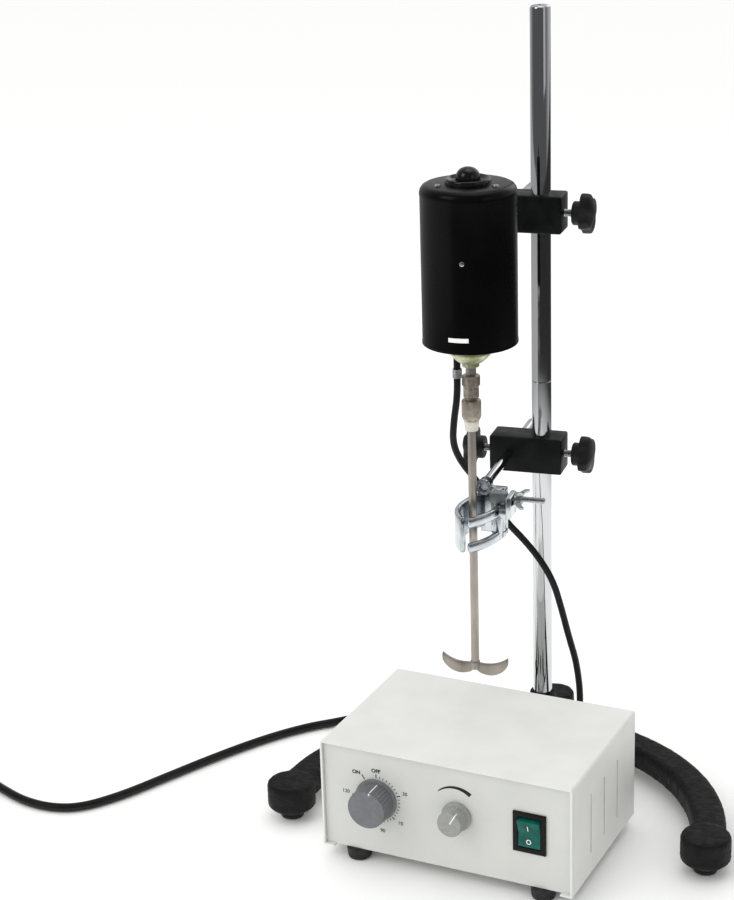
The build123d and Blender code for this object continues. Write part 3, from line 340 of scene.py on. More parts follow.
finishes = {
    "enamel": wrinkleEnamel(),
    # chrome plate on ground steel bar: a clear mirror with faint lines left by grinding round the bar
    "chrome": finish(
        "mirrorChrome", None, (0.05, 0.11, 30, (1, 1, 0.15)), (0.5, 0.0012, (0.15, 0.15, 1)), Metallic=1.0,
        Base_Color=hexColour("#D4D6D8")
    ),
    # satin black paint on a die-cast block: a slight orange peel and paler rubbed places
    "castPaint": finish(
        "castPaint", ("#0C0D0E", "#151617", 12), (0.34, 0.48, 10), (1.1, 0.035), Specular_IOR_Level=0.15
    ),
    # black baked enamel on the motor's drawn can: smooth, with a long soft ripple in its reflections
    "gloss": finish(
        "glossEnamel", ("#050506", "#080809", 40), (0.24, 0.33, 25), (3.2, 0.02), Specular_IOR_Level=0.14,
        Coat_Weight=0.07, Coat_Roughness=0.12
    ),
    # turned and polished black phenolic: hard bright highlights
    "dome": finish("polishedPhenolic", ("#08080A", "#0E0E10", 8), (0.12, 0.2, 6), (1.5, 0.006), IOR=1.55),
    # moulded glass-filled nylon of the star knobs: matt, pimpled, a little grey on its edges
    "nylon": finish(
        "knobNylon", ("#0E0E0F", "#171819", 5), (0.42, 0.56, 4), (0.55, 0.03), Specular_IOR_Level=0.4
    ),
    # bright zinc plate on steel screws: bluish, softly mirrored, with cloudy passivation
    "screw": finish("zincPlate", ("#B9BDBF", "#D4D8DA", 3), (0.22, 0.36, 2.5), (0.6, 0.008), Metallic=1.0),
    # zinc with yellow-green chromate on the motor's end bell: iridescent patches
    "bell": finish(
        "yellowPassivate", ("#B4B988", "#DEDCC4", 6), (0.3, 0.45, 5), (0.8, 0.012), Metallic=1.0
    ),
    # dull nickel on the turned chuck: warm grey, with rings left by the lathe tool
    "chuck": finish(
        "dullNickel", ("#A59B90", "#C0B8AD", 3), (0.26, 0.4, 2), (0.35, 0.01, (0.1, 0.1, 1)), Metallic=1.0
    ),
    # natural nylon collet nose: creamy, a touch translucent
    "nose": finish(
        "naturalNylon", ("#C6C1B4", "#D6D1C6", 3), (0.36, 0.48, 2), (0.5, 0.012), IOR=1.53,
        Subsurface_Weight=0.15, Subsurface_Scale=0.002
    ),
    # centreless-ground stainless bar, brownish from use: fine rings and a satin streak along it
    "steel": finish(
        "groundStainless", ("#A8A098", "#BDB6AE", 10, (1, 1, 0.3)), (0.28, 0.42, 6, (1, 1, 0.2)),
        (0.4, 0.006, (0.1, 0.1, 1)), Metallic=1.0
    ),
    # bright zinc plate on the flask clamp's rough castings: bluish white with soft lumps and shiny edges
    "clamp": finish("platedCasting", ("#C2C9CE", "#D8DDE0", 9), (0.14, 0.24, 5), (2.6, 0.03), Metallic=1.0),
    # the clamp's top plate, blasted before plating: even matt grey
    "plate": finish("blastedZinc", ("#9C9FA0", "#ACAFB0", 2), (0.42, 0.55, 2), (0.4, 0.02), Metallic=1.0),
    # warm white powder coat on folded sheet: semi-matt with a very fine peel
    "cover": finish("powderCoat", ("#D9DAD6", "#DEDFDB", 30), (0.38, 0.46, 18), (0.9, 0.012), IOR=1.5),
    # the same white sprayed smoother on the front panel, a shade greyer: painted shade for the front
    "panel": finish("panelPaint", ("#C9CAC5", "#CECFCA", 40), (0.42, 0.5, 20), (0.7, 0.008), IOR=1.5),
    # black screen-printing ink: flat, with pinholes that thin it to dark grey
    "ink": finish("screenInk", ("#0B0B0C", "#161617", 0.8), (0.5, 0.65, 1), (0.3, 0.004), IOR=1.5),
    # moulded ABS of the dials: matt, finely spark-eroded texture
    "timer": finish("timerAbs", ("#66676B", "#6F7074", 4), (0.46, 0.58, 3), (0.35, 0.012), IOR=1.52),
    "speed": finish("speedAbs", ("#8E8F8C", "#989996", 4), (0.46, 0.58, 3), (0.35, 0.012), IOR=1.52),
    # white enamel wiped into the dials' pointer lines
    "white": finish("pointerEnamel", ("#E9E9E6", "#F4F4F2", 1), (0.35, 0.5, 1), (0.3, 0.008), IOR=1.5),
    # glossy black polycarbonate round the switch
    "bezel": finish(
        "bezelPolycarbonate", ("#050505", "#0A0A0A", 5), (0.25, 0.36, 4), (0.5, 0.008), Specular_IOR_Level=0.2
    ),
    # dark green translucent polycarbonate of the rocker, lit from inside when on and here off
    "lens": finish(
        "rockerLens", ("#054B42", "#096053", 7), (0.2, 0.3, 5), (1.2, 0.01), Specular_IOR_Level=0.25
    ),
    # extruded black PVC: soft satin, faint drag lines
    "sheath": finish(
        "cordSheath", ("#0B0B0C", "#131314", 12), (0.36, 0.5, 8), (0.8, 0.01), Specular_IOR_Level=0.3
    ),
    # black rubber: dull and faintly dusty
    "rubber": finish("footRubber", ("#121213", "#222324", 4), (0.62, 0.8, 3), (0.7, 0.03), IOR=1.52),
    # unpainted metal inside the machine, with tarnish
    "core": finish("laminatedSteel", ("#6E6F72", "#8A8B8D", 5), (0.4, 0.55, 4), (0.6, 0.01), Metallic=1.0),
    "copper": finish(
        "enamelledCopper", ("#A65B32", "#C27A48", 5), (0.3, 0.45, 4), (0.6, 0.01), Metallic=1.0
    ),
    "brass": finish("turnedBrass", ("#B79A56", "#CBB06C", 5), (0.25, 0.4, 4), (0.6, 0.01), Metallic=1.0),
    "alloy": finish(
        "extrudedAluminium", ("#B4B6B8", "#C8CACC", 5), (0.3, 0.45, 4), (0.6, 0.01), Metallic=1.0
    ),
    # moulded parts inside the box
    "board": finish("boardLaminate", ("#2F5A3A", "#386843", 6), (0.4, 0.55, 5), (0.6, 0.012), IOR=1.52),
    "phenolic": finish("brownPhenolic", ("#3A2A20", "#4A362A", 6), (0.4, 0.55, 5), (0.6, 0.012), IOR=1.52),
}
print("finishes mixed:", len(finishes))

# ---- camera, floor and lights
view = bpy.data.cameras.new("view")
view.lens = 85.51
view.sensor_width = 36
view.shift_x = -0.01174
view.shift_y = -0.00564
view.clip_start, view.clip_end = 0.05, 50
camera = bpy.data.objects.new("camera", view)
bpy.context.scene.collection.objects.link(camera)
turn = spun(18.310, "Z") @ spun(70.475, "X")
turn = turn @ spun(-1.774, "Z")
camera.matrix_world = shifted(0.38936, -1.51847, 0.86180) @ turn
bpy.context.scene.camera = camera

deselect()
bpy.ops.mesh.primitive_plane_add(size=40, location=(0, 0, -0.0002))
floor = named("floor")
paper, tree, shader, where = startFinish("studioPaper", Specular_IOR_Level=0.15, Roughness=0.85)
# pale all over, but glossy rays see it painted dark from 0.62 to 1.0 m out, a painted reflection
# of a dark room in gloss and chrome, which is not so dark to the left
reach = addNode(tree, "VectorMath", {0: where}, operation="LENGTH")
away = addNode(tree, "MapRange", {"Value": reach.outputs["Value"]}, From_Min=0.62, From_Max=1.0)
side = addNode(tree, "VectorMath", {0: where}, operation="DOT_PRODUCT")
side.inputs[1].default_value = (-0.91, 0.41, 0)
# the painted dark reflection is lifted to 0.6 of its darkness towards the left
lighterLeft = addNode(
    tree, "MapRange", {"Value": side.outputs["Value"]}, From_Min=0.25, From_Max=-0.05, To_Min=0.6
)
shade = addNode(tree, "Math", {0: away.outputs["Result"], 1: lighterLeft.outputs["Result"]}, operation="MULTIPLY")
bounce = addNode(tree, "LightPath")
seen = {0: shade.outputs["Value"], 1: bounce.outputs["Is Glossy Ray"]}
shade = addNode(tree, "Math", seen, operation="MULTIPLY")
ramp = addNode(tree, "ValToRGB", {"Fac": shade.outputs["Value"]})
ramp.color_ramp.elements[0].color = hexColour("#FAFAF9")
ramp.color_ramp.elements[1].color = hexColour("#2C2B2A")
tree.links.new(ramp.outputs["Color"], shader.inputs["Base Color"])
floor.data.materials.append(paper)

world = bpy.data.worlds.new("studio")
bpy.context.scene.world = world
world.use_nodes = True
tree = world.node_tree
# a white tent, brighter on the left, which gloss sees as a dim room that is lighter towards the backdrop
side = addNode(tree, "SeparateXYZ", {"Vector": addNode(tree, "TexCoord").outputs["Generated"]})
depth = {"From_Min": -0.3, "From_Max": 0.7, "To_Min": 0.10, "To_Max": 0.55}
across = {"From_Min": -1.0, "From_Max": 1.0, "To_Min": 1.62, "To_Max": 0.46}
room = addNode(tree, "MapRange", {"Value": side.outputs["Y"]}, **depth)
tent = addNode(tree, "MapRange", {"Value": side.outputs["X"]}, **across)
bounce = addNode(tree, "LightPath")
glow = addNode(tree, "Mix", data_type="FLOAT")
tree.links.new(tent.outputs["Result"], glow.inputs[2])
tree.links.new(bounce.outputs["Is Glossy Ray"], glow.inputs[0])
tree.links.new(room.outputs["Result"], glow.inputs[3])
backdrop = tree.nodes["Background"]
backdrop.inputs["Color"].default_value = (1.0, 1.0, 1.0, 1.0)
tree.links.new(glow.outputs[0], backdrop.inputs["Strength"])
bpy.context.scene.view_settings.view_transform = "Standard"
lamps = {
    "keyLamp": ((-1.3, -1.5, 1.9), 1.2, 7),
    "fillLamp": ((1.7, -0.9, 1.2), 0.9, 1),
    "topLamp": ((0.1, 0.3, 2.3), 1.4, 5),
    "backLamp": ((0.5, 1.9, 1.4), 1.2, 4),
}
for name, (spot, size, power) in lamps.items():
    light = bpy.data.lights.new(name, "AREA")
    light.size, light.energy = size, power
    lamp = bpy.data.objects.new(name, light)
    bpy.context.scene.collection.objects.link(lamp)
    aim = Vector((0, -0.05, 0.3)) - Vector(spot)
    lamp.matrix_world = Matrix.Translation(spot) @ aim.to_track_quat("-Z", "Y").to_matrix().to_4x4()
print("camera and lights set")

# ---- cords
motorLead = {"radius": 0.00275, "splitAt": 0.305}
motorRoute = [
    (-0.0410, -0.0190, 0.3870),
    (-0.0408, -0.0194, 0.3670),
    (-0.0412, -0.0190, 0.3460),
    (-0.0444, -0.0188, 0.3260),
    (-0.0460, -0.0175, 0.3070),
    (-0.0418, -0.0090, 0.2890),
    (-0.0340, 0.0075, 0.2685),
    (-0.0255, 0.0160, 0.2485),
    (-0.0135, 0.0225, 0.2290),
    (0.0005, 0.0280, 0.2115),
    (0.0120, 0.0320, 0.1945),
    (0.0215, 0.0350, 0.1755),
    (0.0270, 0.0390, 0.1515),
    (0.0320, 0.0445, 0.1240),
    (0.0370, 0.0515, 0.0980),
    (0.0394, 0.0560, 0.0660),
    (0.0394, 0.0485, 0.0475),
    (0.0382, 0.0319, 0.0362),
    (0.0349, 0.0081, 0.0360),
]
mainsLead = {
    "radius": 0.0035,
    "coilX": -0.4847,
    "coilY": -0.1160,
    "outerTurn": 0.0423,
    "innerTurn": 0.0353,
    "pointsPerTurn": 18,
    "lowest": 0.0036,
    "upper": 0.0106,
    "from": 57.2,
    "to": 1260.0,
    "stepIn": (345, 400),
    "stepOut": (955, 1010),
    "climb": (655, 717),
    "tail": (0.012, 0.026, 0.040),
}
mainsRoute = [
    (-0.0607, 0.0104, 0.0400),
    (-0.0573, 0.0349, 0.0401),
    (-0.0700, 0.0580, 0.0400),
    (-0.0950, 0.0720, 0.0385),
    (-0.1240, 0.0795, 0.0290),
    (-0.1520, 0.0825, 0.0130),
    (-0.1800, 0.0785, 0.0038),
    (-0.2070, 0.0600, 0.0036),
    (-0.2360, 0.0280, 0.0036),
    (-0.2640, -0.0125, 0.0036),
    (-0.2900, -0.0550, 0.0036),
    (-0.3160, -0.0980, 0.0036),
    (-0.3440, -0.1270, 0.0036),
    (-0.3820, -0.1275, 0.0036),
    (-0.4220, -0.1069, 0.0036),
]


def between(value, start, end):  # a soft step from 0 to 1
    t = min(1.0, max(0.0, (value - start) / (end - start)))
    return t * t * (3 - 2 * t)


def coilPoints(lead):
    # four lanes of rather less than a turn each, two below and two above, and the cord changes
    # lane where the next one is free
    points = []
    span = lead["to"] - lead["from"]
    count = round(span / 360 * lead["pointsPerTurn"])
    for n in range(count + 1):
        angle = lead["from"] + span * n / count
        lane = between(angle, *lead["stepIn"]) - between(angle, *lead["stepOut"])
        r = lead["outerTurn"] + (lead["innerTurn"] - lead["outerTurn"]) * lane
        z = lead["lowest"] + (lead["upper"] - lead["lowest"]) * between(angle, *lead["climb"])
        a = math.radians(angle)
        points.append((lead["coilX"] + r * math.cos(a), lead["coilY"] + r * math.sin(a), z))
    x = lead["coilX"] - lead["outerTurn"]
    points += [(x, lead["coilY"] - d, lead["upper"] - 0.0001) for d in lead["tail"]]
    return points


def cordLine(name, points, radius, kind="NURBS"):
    curve = bpy.data.curves.new(name, "CURVE")
    curve.dimensions = "3D"
    spline = curve.splines.new(kind)
    spline.points.add(len(points) - 1)
    for point, where in zip(spline.points, points):
        point.co = (*where, 1)
    if kind == "NURBS":
        spline.order_u = 3
        spline.use_endpoint_u = True
        spline.resolution_u = 8
    curve.bevel_depth = radius
    curve.bevel_resolution = 6
    curve.use_fill_caps = True
    line = bpy.data.objects.new(name, curve)
    bpy.context.scene.collection.objects.link(line)
    return line


def lineOf(points):  # the smooth line that a cord laid through these points follows
    guide = cordLine("guide", points, 0)
    guide.data.resolution_u = 12
    bpy.context.view_layer.update()
    mesh = bpy.data.meshes.new_from_object(guide)
    line = [v.co.copy() for v in mesh.vertices]
    bpy.data.objects.remove(guide)
    bpy.data.meshes.remove(mesh)
    return line


mainsCord = cordLine("mainsCord", mainsRoute + coilPoints(mainsLead), mainsLead["radius"])
mainsCord.data.materials.append(finishes["sheath"])
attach(mainsCord, "stand")
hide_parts("mains_cord", "mains_coil")

motorLine = lineOf(motorRoute)
split = min(range(len(motorLine)), key=lambda n: abs(motorLine[n].z - motorLead["splitAt"]))


def hosePiece(name, line, radius):
    # a smooth tube along the cord's own line
    tube = cordLine(name, line, radius, "POLY")
    only(tube)
    bpy.ops.object.convert(target="MESH")
    tube = named(name)
    bpy.ops.object.shade_smooth_by_angle(angle=math.radians(40))
    tube.data.materials.clear()
    tube.data.materials.append(finishes["sheath"])
    return tube


def along(line):
    return sum((b - a).length for a, b in zip(line, line[1:]))


upperLine, lowerLine = motorLine[: split + 1], motorLine[split:]
motorCordUpper = hosePiece("motorCordUpper", upperLine, motorLead["radius"])
motorCordLower = hosePiece("motorCordLower", lowerLine, motorLead["radius"])
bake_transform(motorCordUpper)
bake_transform(motorCordLower)
for tube, line, farEnd, carried in (
    (motorCordUpper, upperLine, "object", ["cord_ferrule"]),
    (motorCordLower, lowerLine, "connector", ["motor_plug"]),
):
    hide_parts("motor_cord")
print("cords laid")

# ---- post
post = {"radius": 8.0, "low": 30.0, "seam": 330.0, "top": 630.0, "steps": 96}
r, seam, top = post["radius"], post["seam"], post["top"]
lower = turned(
    "postLower",
    [(0, post["low"]), (r, post["low"]), (r, seam - 0.5), (r - 0.35, seam - 0.05), (0, seam - 0.05)],
    post["steps"]
)
crown = [
    (r - 0.35, seam + 0.05), (r, seam + 0.5), (r, top - 2.2), (r - 0.5, top - 1), (r - 1.6, top - 0.2),
    (r - 2.6, top)
]
upper = turned(
    "postUpper", [(0, seam + 0.05), *crown, (2.6, top), (1.6, top - 3), (0, top - 4)], post["steps"]
)
for piece, node in ((lower, "post_lower"), (upper, "post_upper")):
    setDown(piece, "stand", "chrome", angle=25, node=node)
print("post stands")

# ---- horseshoe base: spun, turned and block shapes fused into one rough casting
casting = {"bend": 168.0, "halfWidth": 13.8, "low": 11.2, "high": 28.8, "voxel": 1.15}


def baseCasting(c):
    deselect()
    bpy.ops.mesh.primitive_plane_add(size=1)
    arms = named("standCasting")
    editing(arms, "VERT")
    selectAll()
    height, middle = c["high"] - c["low"], (c["high"] + c["low"]) / 2
    bpy.ops.transform.resize(value=(2 * c["halfWidth"], height, 1))
    pickPoints(arms, lambda co: co.y > 0)
    bpy.ops.mesh.bevel(offset=6, segments=5, affect="VERTICES")
    selectAll()
    deselect()
    moved(arms, shifted(c["bend"], 0, middle) @ spun(90, "X"))
    editing(arms)
    selectAll()
    bpy.ops.mesh.spin(steps=72, angle=math.pi, center=(0, 0, 0), axis=(0, 0, -1))
    closedUp(arms)
    moved(arms, shifted(0, -c["bend"], 0))
    shapes = [arms]
    for x, y, r in ((-168, -168, 19.8), (168, -168, 19.8), (0, 44, 17.3)):
        boss = [(0, 7.7), (r - 4, 7.7), (r, 11.5), (r, 28.6), (r - 1, 31), (r - 3, 31.8), (0, 31.8)]
        shapes.append(moved(turned("boss", boss, 48), shifted(x, y, 0)))
    shapes.append(slab("web", (21.6, 44, 17.6), (0, 22, 20), 2))
    hub = [
        (0, 11.2), (22.8, 11.2), (22.8, 28.8), (19.5, 30), (17, 33.8), (14, 40), (12, 46), (11, 51),
        (10.8, 53.8), (0, 53.8)
    ]
    shapes.append(turned("hub", hub, 48))
    return joined("standCasting", *shapes)


standCasting = baseCasting(casting)
applied(standCasting, "REMESH", mode="VOXEL", voxel_size=casting["voxel"])
applied(standCasting, "SMOOTH", factor=0.5, iterations=6)
crinkle = bpy.data.textures.new("crinkle", "CLOUDS")
crinkle.noise_scale = 3.2
crinkle.noise_depth = 2
applied(standCasting, "DISPLACE", texture=crinkle, strength=0.75, mid_level=0.95, texture_coords="LOCAL")
deselect()
bpy.ops.mesh.primitive_cylinder_add(vertices=64, radius=8.05, depth=40, location=(0, 0, 50))
bore = named("bore")
cutAway(standCasting, bore)
setDown(standCasting, "stand", "enamel", angle=180, node="stand_base")

# ---- feet under the base
foot = turned(
    "standFoot",
    [
        (0, 0), (7.6, 0), (9.0, 0.7), (9.5, 1.8), (9.5, 3.2), (8.9, 3.7), (8.9, 4.3), (9.5, 4.8),
        (9.5, 7.5), (4, 7.5), (4, 9), (0, 9)
    ],
    48
)
for n, (x, y) in enumerate(((-168, -168), (168, -168), (0, 44))):
    pad = copied(foot, f"standFoot.{n}", shifted(x, y, 0))
    setDown(pad, "stand", "rubber", node="stand_feet")
bpy.data.objects.remove(foot)
print("base cast")

# ---- boss heads: die-cast blocks, bored for the post and the bars
heads = {"upper": (469.0, 6.0), "lower": (268.6, 4.0)}


def bossHead(name, z, barRadius):
    head = slab(name, (60, 26, 30), (-11, 0, z), 1.6, 3)
    bores = [(0, 0, 8.06, 0), (-25, 0, barRadius + 0.06, 1)]
    for x, y, r, lying in bores:
        deselect()
        turn = (math.pi / 2, 0, 0) if lying else (0, 0, 0)
        bpy.ops.mesh.primitive_cylinder_add(
            vertices=64, radius=r, depth=60, location=(x, y, z), rotation=turn
        )
        drill = named("drill")
        cutAway(head, drill)
    return head


for side, (z, barRadius) in heads.items():
    head = bossHead(side + "Head", z, barRadius)
    setDown(head, side + "_head", "castPaint", angle=40, node=side + "_head")

# ---- star knobs on zinc-plated thumbscrews
starKnob = {"radius": 16.5, "waist": 0.70, "low": 13.5, "thick": 11.0, "shoulder": 9.5, "shoulderLow": 7.0}


def makeStar(k):
    deselect()
    bpy.ops.mesh.primitive_circle_add(
        vertices=24, radius=k["radius"] * 1.03, fill_type="NGON", location=(0, 0, k["low"])
    )
    star = named("starKnob")
    editing(star, "VERT")
    for share, low, high in ((k["waist"] + 0.1, 28, 62), (k["waist"], 36, 54)):
        def valley(co):
            turn = math.degrees(math.atan2(co.y, co.x)) % 90
            return low < turn < high
        pickPoints(star, valley)
        size = share if low == 28 else k["waist"] / (k["waist"] + 0.1)
        bpy.ops.transform.resize(value=(size, size, 1), center_override=(0, 0, k["low"]))
    bpy.ops.mesh.select_mode(type="FACE")
    selectAll()
    z = k["low"]
    for rise, share in (
        (0.8, 1.02), (k["thick"] - 5.0, 1.0), (1.6, 0.955), (1.2, 0.80), (0.9, 0.62), (0.4, 0.3)
    ):
        bpy.ops.mesh.extrude_region_move(TRANSFORM_OT_translate={"value": (0, 0, rise)})
        z += rise
        bpy.ops.transform.resize(value=(share, share, 1), center_override=(0, 0, z))
    closedUp(star)
    applied(star, "SUBSURF", levels=2, render_levels=2)
    collar = turned(
        "collar",
        [
            (3.1, k["shoulderLow"]), (k["shoulder"] - 0.8, k["shoulderLow"]),
            (k["shoulder"], k["shoulderLow"] + 0.8), (k["shoulder"], 13), (k["shoulder"] + 0.8, 14),
            (3.1, 14), (3.1, k["shoulderLow"])
        ],
        48
    )
    return joined("starKnob", star, collar)


def makeStud(reach):
    # a rolled thread of half-millimetre flanks, and a plain tip
    outline = [(0, -reach), (2.2, -reach), (2.9, -reach + 0.8)]
    z = -1.6
    while z < 7.6:
        outline += [(2.95, z), (2.55, z + 0.4)]
        z += 0.8
    outline += [(2.9, z), (2.9, 14), (0, 14)]
    return turned("stud", outline, 32)


star = makeStar(starKnob)
for side, (z, barRadius) in heads.items():
    right = shifted(19, 0, z) @ spun(90, "Y") @ spun(20, "Z")
    left = shifted(-41, 0, z) @ spun(-90, "Y") @ spun(35, "Z")
    for end, place, reach in (("post", right, 10.6), ("rod", left, 15.6 - barRadius)):
        node = f"{side}_{end}_screw"
        name = side + end.title()
        knob = copied(star, name + "Knob", Matrix())
        setDown(knob, node, "nylon", place, 45, node=node)
        stud = makeStud(reach)
        stud.name = name + "Stud"
        setDown(stud, node, "screw", place, 60, node=node)
bpy.data.objects.remove(star)
print("heads and knobs made")

# ---- motor
motor = {"can": 36.25, "low": 397.0, "high": 518.0, "steps": 128}
r, low, high = motor["can"], motor["low"], motor["high"]
outline = [
    (0, high - 8), (r - 2.2, high - 8), (r - 2.2, low + 0.4), (r - 1.9, low), (r - 0.4, low),
    (r, low + 0.4), (r, low + 2.2), (r - 0.3, low + 2.9),
    (r - 0.3, high - 8.4), (r - 0.05, high - 7.4), (r - 0.1, high - 5.6), (r - 0.8, high - 3.4),
    (r - 2.2, high - 1.5), (r - 4.2, high - 0.4), (r - 6.2, high - 0.02), (0, high)
]
can = turned("motorCan", outline, motor["steps"])
pad = turned("pad", [(0, -3), (11, -3), (11, 1.4), (10.4, 2), (0, 2)], 64)
moved(pad, shifted(0, r, 469) @ spun(-90, "X"))
can = joined("motorCan", can, pad)
setDown(can, "motor", "gloss", motorAxis, 30, node="motor_housing")

ring = turned(
    "topRing",
    [
        (9.3, high - 0.2), (17.25, high - 0.2), (17.25, high + 2.6), (16.8, high + 3.6), (16.0, high + 4),
        (15.2, high + 3.7), (13.6, high + 1.9), (11.2, high + 1.2), (9.3, high + 1.2), (9.3, high - 0.2)
    ],
    96
)
setDown(ring, "motor", "dome", motorAxis, 40, node="motor_top_ring")
dome = [
    (0, high), (9.2, high), (9.25, high + 3.2), (9.0, high + 5.4), (8.3, high + 7.6), (7.2, high + 9.2),
    (5.6, high + 10.6), (3.6, high + 11.5), (1.6, high + 11.95), (0, high + 12)
]
dome = turned("bearingDome", dome, 96)
setDown(dome, "motor", "dome", motorAxis, 60, node="motor_dome")


def panScrew(name, radius, height, slotWidth):
    # a pan head with its slot cut across
    head = turned(
        name,
        [
            (0, -2), (radius * 0.5, -2), (radius * 0.5, 0), (radius, 0), (radius, height * 0.5),
            (radius * 0.8, height * 0.88), (radius * 0.4, height), (0, height)
        ],
        36
    )
    slot = slab("slot", (radius * 3, slotWidth, height), (0, 0, height * 1.05))
    cutAway(head, slot)
    return head


for n in range(3):
    a = math.radians(100 + 120 * n)
    place = motorAxis @ shifted(24.5 * math.cos(a), 24.5 * math.sin(a), high)
    place = place @ Matrix.Rotation(a * 1.7, 4, "Z")
    screw = panScrew(f"topScrew.{n}", 2.4, 1.6, 0.6)
    setDown(screw, "motor", "screw", place, 40, node="motor_screws")

bell = [
    (4.3, 377.5), (6.2, 377.5), (6.5, 377.9), (6.5, 380.6), (7.4, 381.2), (9.6, 381.7), (12.4, 384.2),
    (15.2, 387.0), (16.0, 388.4), (16.75, 389.4),
    (16.75, 391.2), (16.0, 391.9), (16.0, 393.0), (16.75, 393.7), (16.75, 397.6), (34.0, 397.6),
    (34.0, 401.5), (4.3, 401.5), (4.3, 377.5)
]
bell = turned("endBell", bell, 96)
setDown(bell, "motor", "bell", motorAxis, 30, node="end_bell")

nutPlace = shifted(-25, -83.75, 469) @ spun(-90, "X")
deselect()
bpy.ops.mesh.primitive_cylinder_add(vertices=6, radius=9.8, depth=7, location=(0, 0, 3.5))
nut = eased(named("armNut"), 0.6, 2)
setDown(nut, "motor", "screw", nutPlace, 30, node="arm_nut")
arm = turned(
    "motorArm",
    [(0, 0), (5, 0), (5, 10), (5.5, 10.5), (6, 11), (6, 166.6), (5.6, 167.4), (4.9, 167.7), (0, 167.75)], 64
)
setDown(
    arm, "motor", "chrome", shifted(-25, -87.75, 469) @ spun(-90, "X"), 30, node="motor_arm",
)

# the small screw half way up the can, and the bare pale strip near its lower edge
facing = spun(-83, "Z")
out = facing @ shifted(r - 0.5, 0, 466) @ spun(90, "Y")
screw = turned("canScrew", [(0, 0), (1.8, 0), (1.8, 0.3), (1.4, 0.5), (0, 0.5)], 24)
setDown(screw, "motor", "screw", motorAxis @ out, 40)
strip = turned(
    "canStrip",
    [(r - 0.5, 406.4), (r - 0.08, 406.4), (r - 0.08, 409.7), (r - 0.5, 409.7), (r - 0.5, 406.4)], 12,
    math.radians(24.5)
)
setDown(strip, "motor", "white", motorAxis @ spun(-101, "Z"), 30)
print("motor built")

# ---- chuck: knurled body, fluted sleeve and nylon nose
chuck = {"knurl": 7.0, "knurlLow": 362.5, "knurlHigh": 370.5, "sleeve": 7.5}
rows = [chuck["knurlLow"] + 0.5 + 0.875 * n for n in range(9)]
outline = [
    (3.9, 370.5), (6.4, 370.5), *[(chuck["knurl"], z) for z in reversed(rows)], (6.4, 362.5), (5.6, 362.2),
    (5.6, 361.6), (6, 361.2)
]
outline += [(6, 353.6), (5.5, 353.1), (4.9, 352.6), (4.9, 336), (3.4, 336), (3.4, 360), (3.9, 370.5)]
body = turned("chuckBody", outline, 56)
fluted(body, rows[0], rows[-1], chuck["knurl"], 28, 0.45, diamond=True)
setDown(body, "rotor", "chuck", motorAxis, 20, node="chuck_body")
outline = [
    (5.0, 351.0), (6.9, 351.0), (7.5, 350.2), (7.5, 338.2), (7.1, 337.0), (6.2, 335.2), (5.9, 334.6),
    (3.4, 334.6), (3.4, 335.6), (5.0, 335.6), (5.0, 351.0)
]
sleeve = turned("chuckSleeve", outline, 64)
fluted(sleeve, 338.2, 350.2, chuck["sleeve"], 32, 0.4)
setDown(sleeve, "chuck_sleeve", "chuck", motorAxis, 20, node="chuck_sleeve")
outline = [
    (3.35, 334.5), (5.85, 334.5), (5.9, 333.6), (5.7, 332.4), (5.2, 327.2), (4.8, 326.6), (3.35, 326.5),
    (3.35, 334.5)
]
nose = turned("chuckNose", outline, 64)
setDown(nose, "chuck_sleeve", "nose", motorAxis, 30, node="chuck_sleeve")
spindle = turned("motorSpindle", [(0, 358.6), (3.6, 358.6), (4, 359), (4, 511), (0, 511)], 48)
setDown(spindle, "rotor", "steel", motorAxis, 30, node="motor_shaft")

# ---- stirrer shaft and its two-bladed paddle
shaft = turned(
    "stirrerShaft", [(0, 129.6), (2.9, 129.6), (3.25, 130), (3.25, 355.1), (2.8, 355.55), (0, 355.55)], 64
)
setDown(shaft, "stirrer", "steel", motorAxis, 30, node="stirrer_shaft")


def cadCopy(node, name):  # a merged copy of a frame node's mesh, in drawing millimetres
    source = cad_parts[node]
    copy = bpy.data.objects.new(name, source.data.copy())
    bpy.context.scene.collection.objects.link(copy)
    moved(copy, drawing.inverted())
    closedUp(copy)
    editing(copy)
    selectAll()
    bpy.ops.mesh.dissolve_limited(angle_limit=math.radians(0.8))
    deselect()
    return copy


blades = {"x": -25, "y": -122, "tip": 26.8, "hubTop": 136.5, "round": 1.7}
paddle = cadCopy("paddle", "paddleBlades")
editing(paddle, "VERT")
pickPoints(paddle, lambda co: co.z > blades["hubTop"] - 0.1 and abs(co.x - blades["x"]) < 6)
bpy.ops.transform.translate(value=(0, 0, -3))
pickPoints(paddle, lambda co: 4.2 < math.hypot(co.x - blades["x"], co.y - blades["y"]) < 4.8)
bpy.ops.transform.resize(value=(0.84, 0.84, 1), center_override=(blades["x"], blades["y"], 130))
for side in (1, -1):  # the pointed tips are cut off square, then rounded
    editing(paddle)
    selectAll()
    end = (blades["x"] + side * blades["tip"], 0, 0)
    bpy.ops.mesh.bisect(plane_co=end, plane_no=(side, 0, 0), use_fill=True, clear_outer=True)
editing(paddle, "EDGE")


def acrossTip(a, b):  # an edge that runs through the blade's thickness at its cut end
    reach = min(abs(a.x - blades["x"]), abs(b.x - blades["x"]))
    return reach > blades["tip"] - 0.05 and abs(a.y - b.y) > 0.8


pickEdges(paddle, acrossTip)
bpy.ops.mesh.bevel(offset=blades["round"], segments=4, affect="EDGES")
deselect()
eased(paddle, 0.45, 2, 40)
setDown(paddle, "stirrer", "steel", angle=35, node="paddle")
print("chuck and stirrer made")

# ---- flask clamp
ringAt = shifted(-24, -121, 0)
jaws = {"thick": 4.5, "low": 235.0, "high": 264.0, "fingerHigh": 8.0}
# each jaw bends round its own centre, from its tip in front of the shaft
movingBend = {"x": -35.2, "y": 11.8, "radius": 52.3, "tip": -43.1, "sweep": 38.9}
fixedBend = {"x": 26.2, "y": 1.03, "radius": 38.8, "tip": 221.1, "sweep": -57.6}


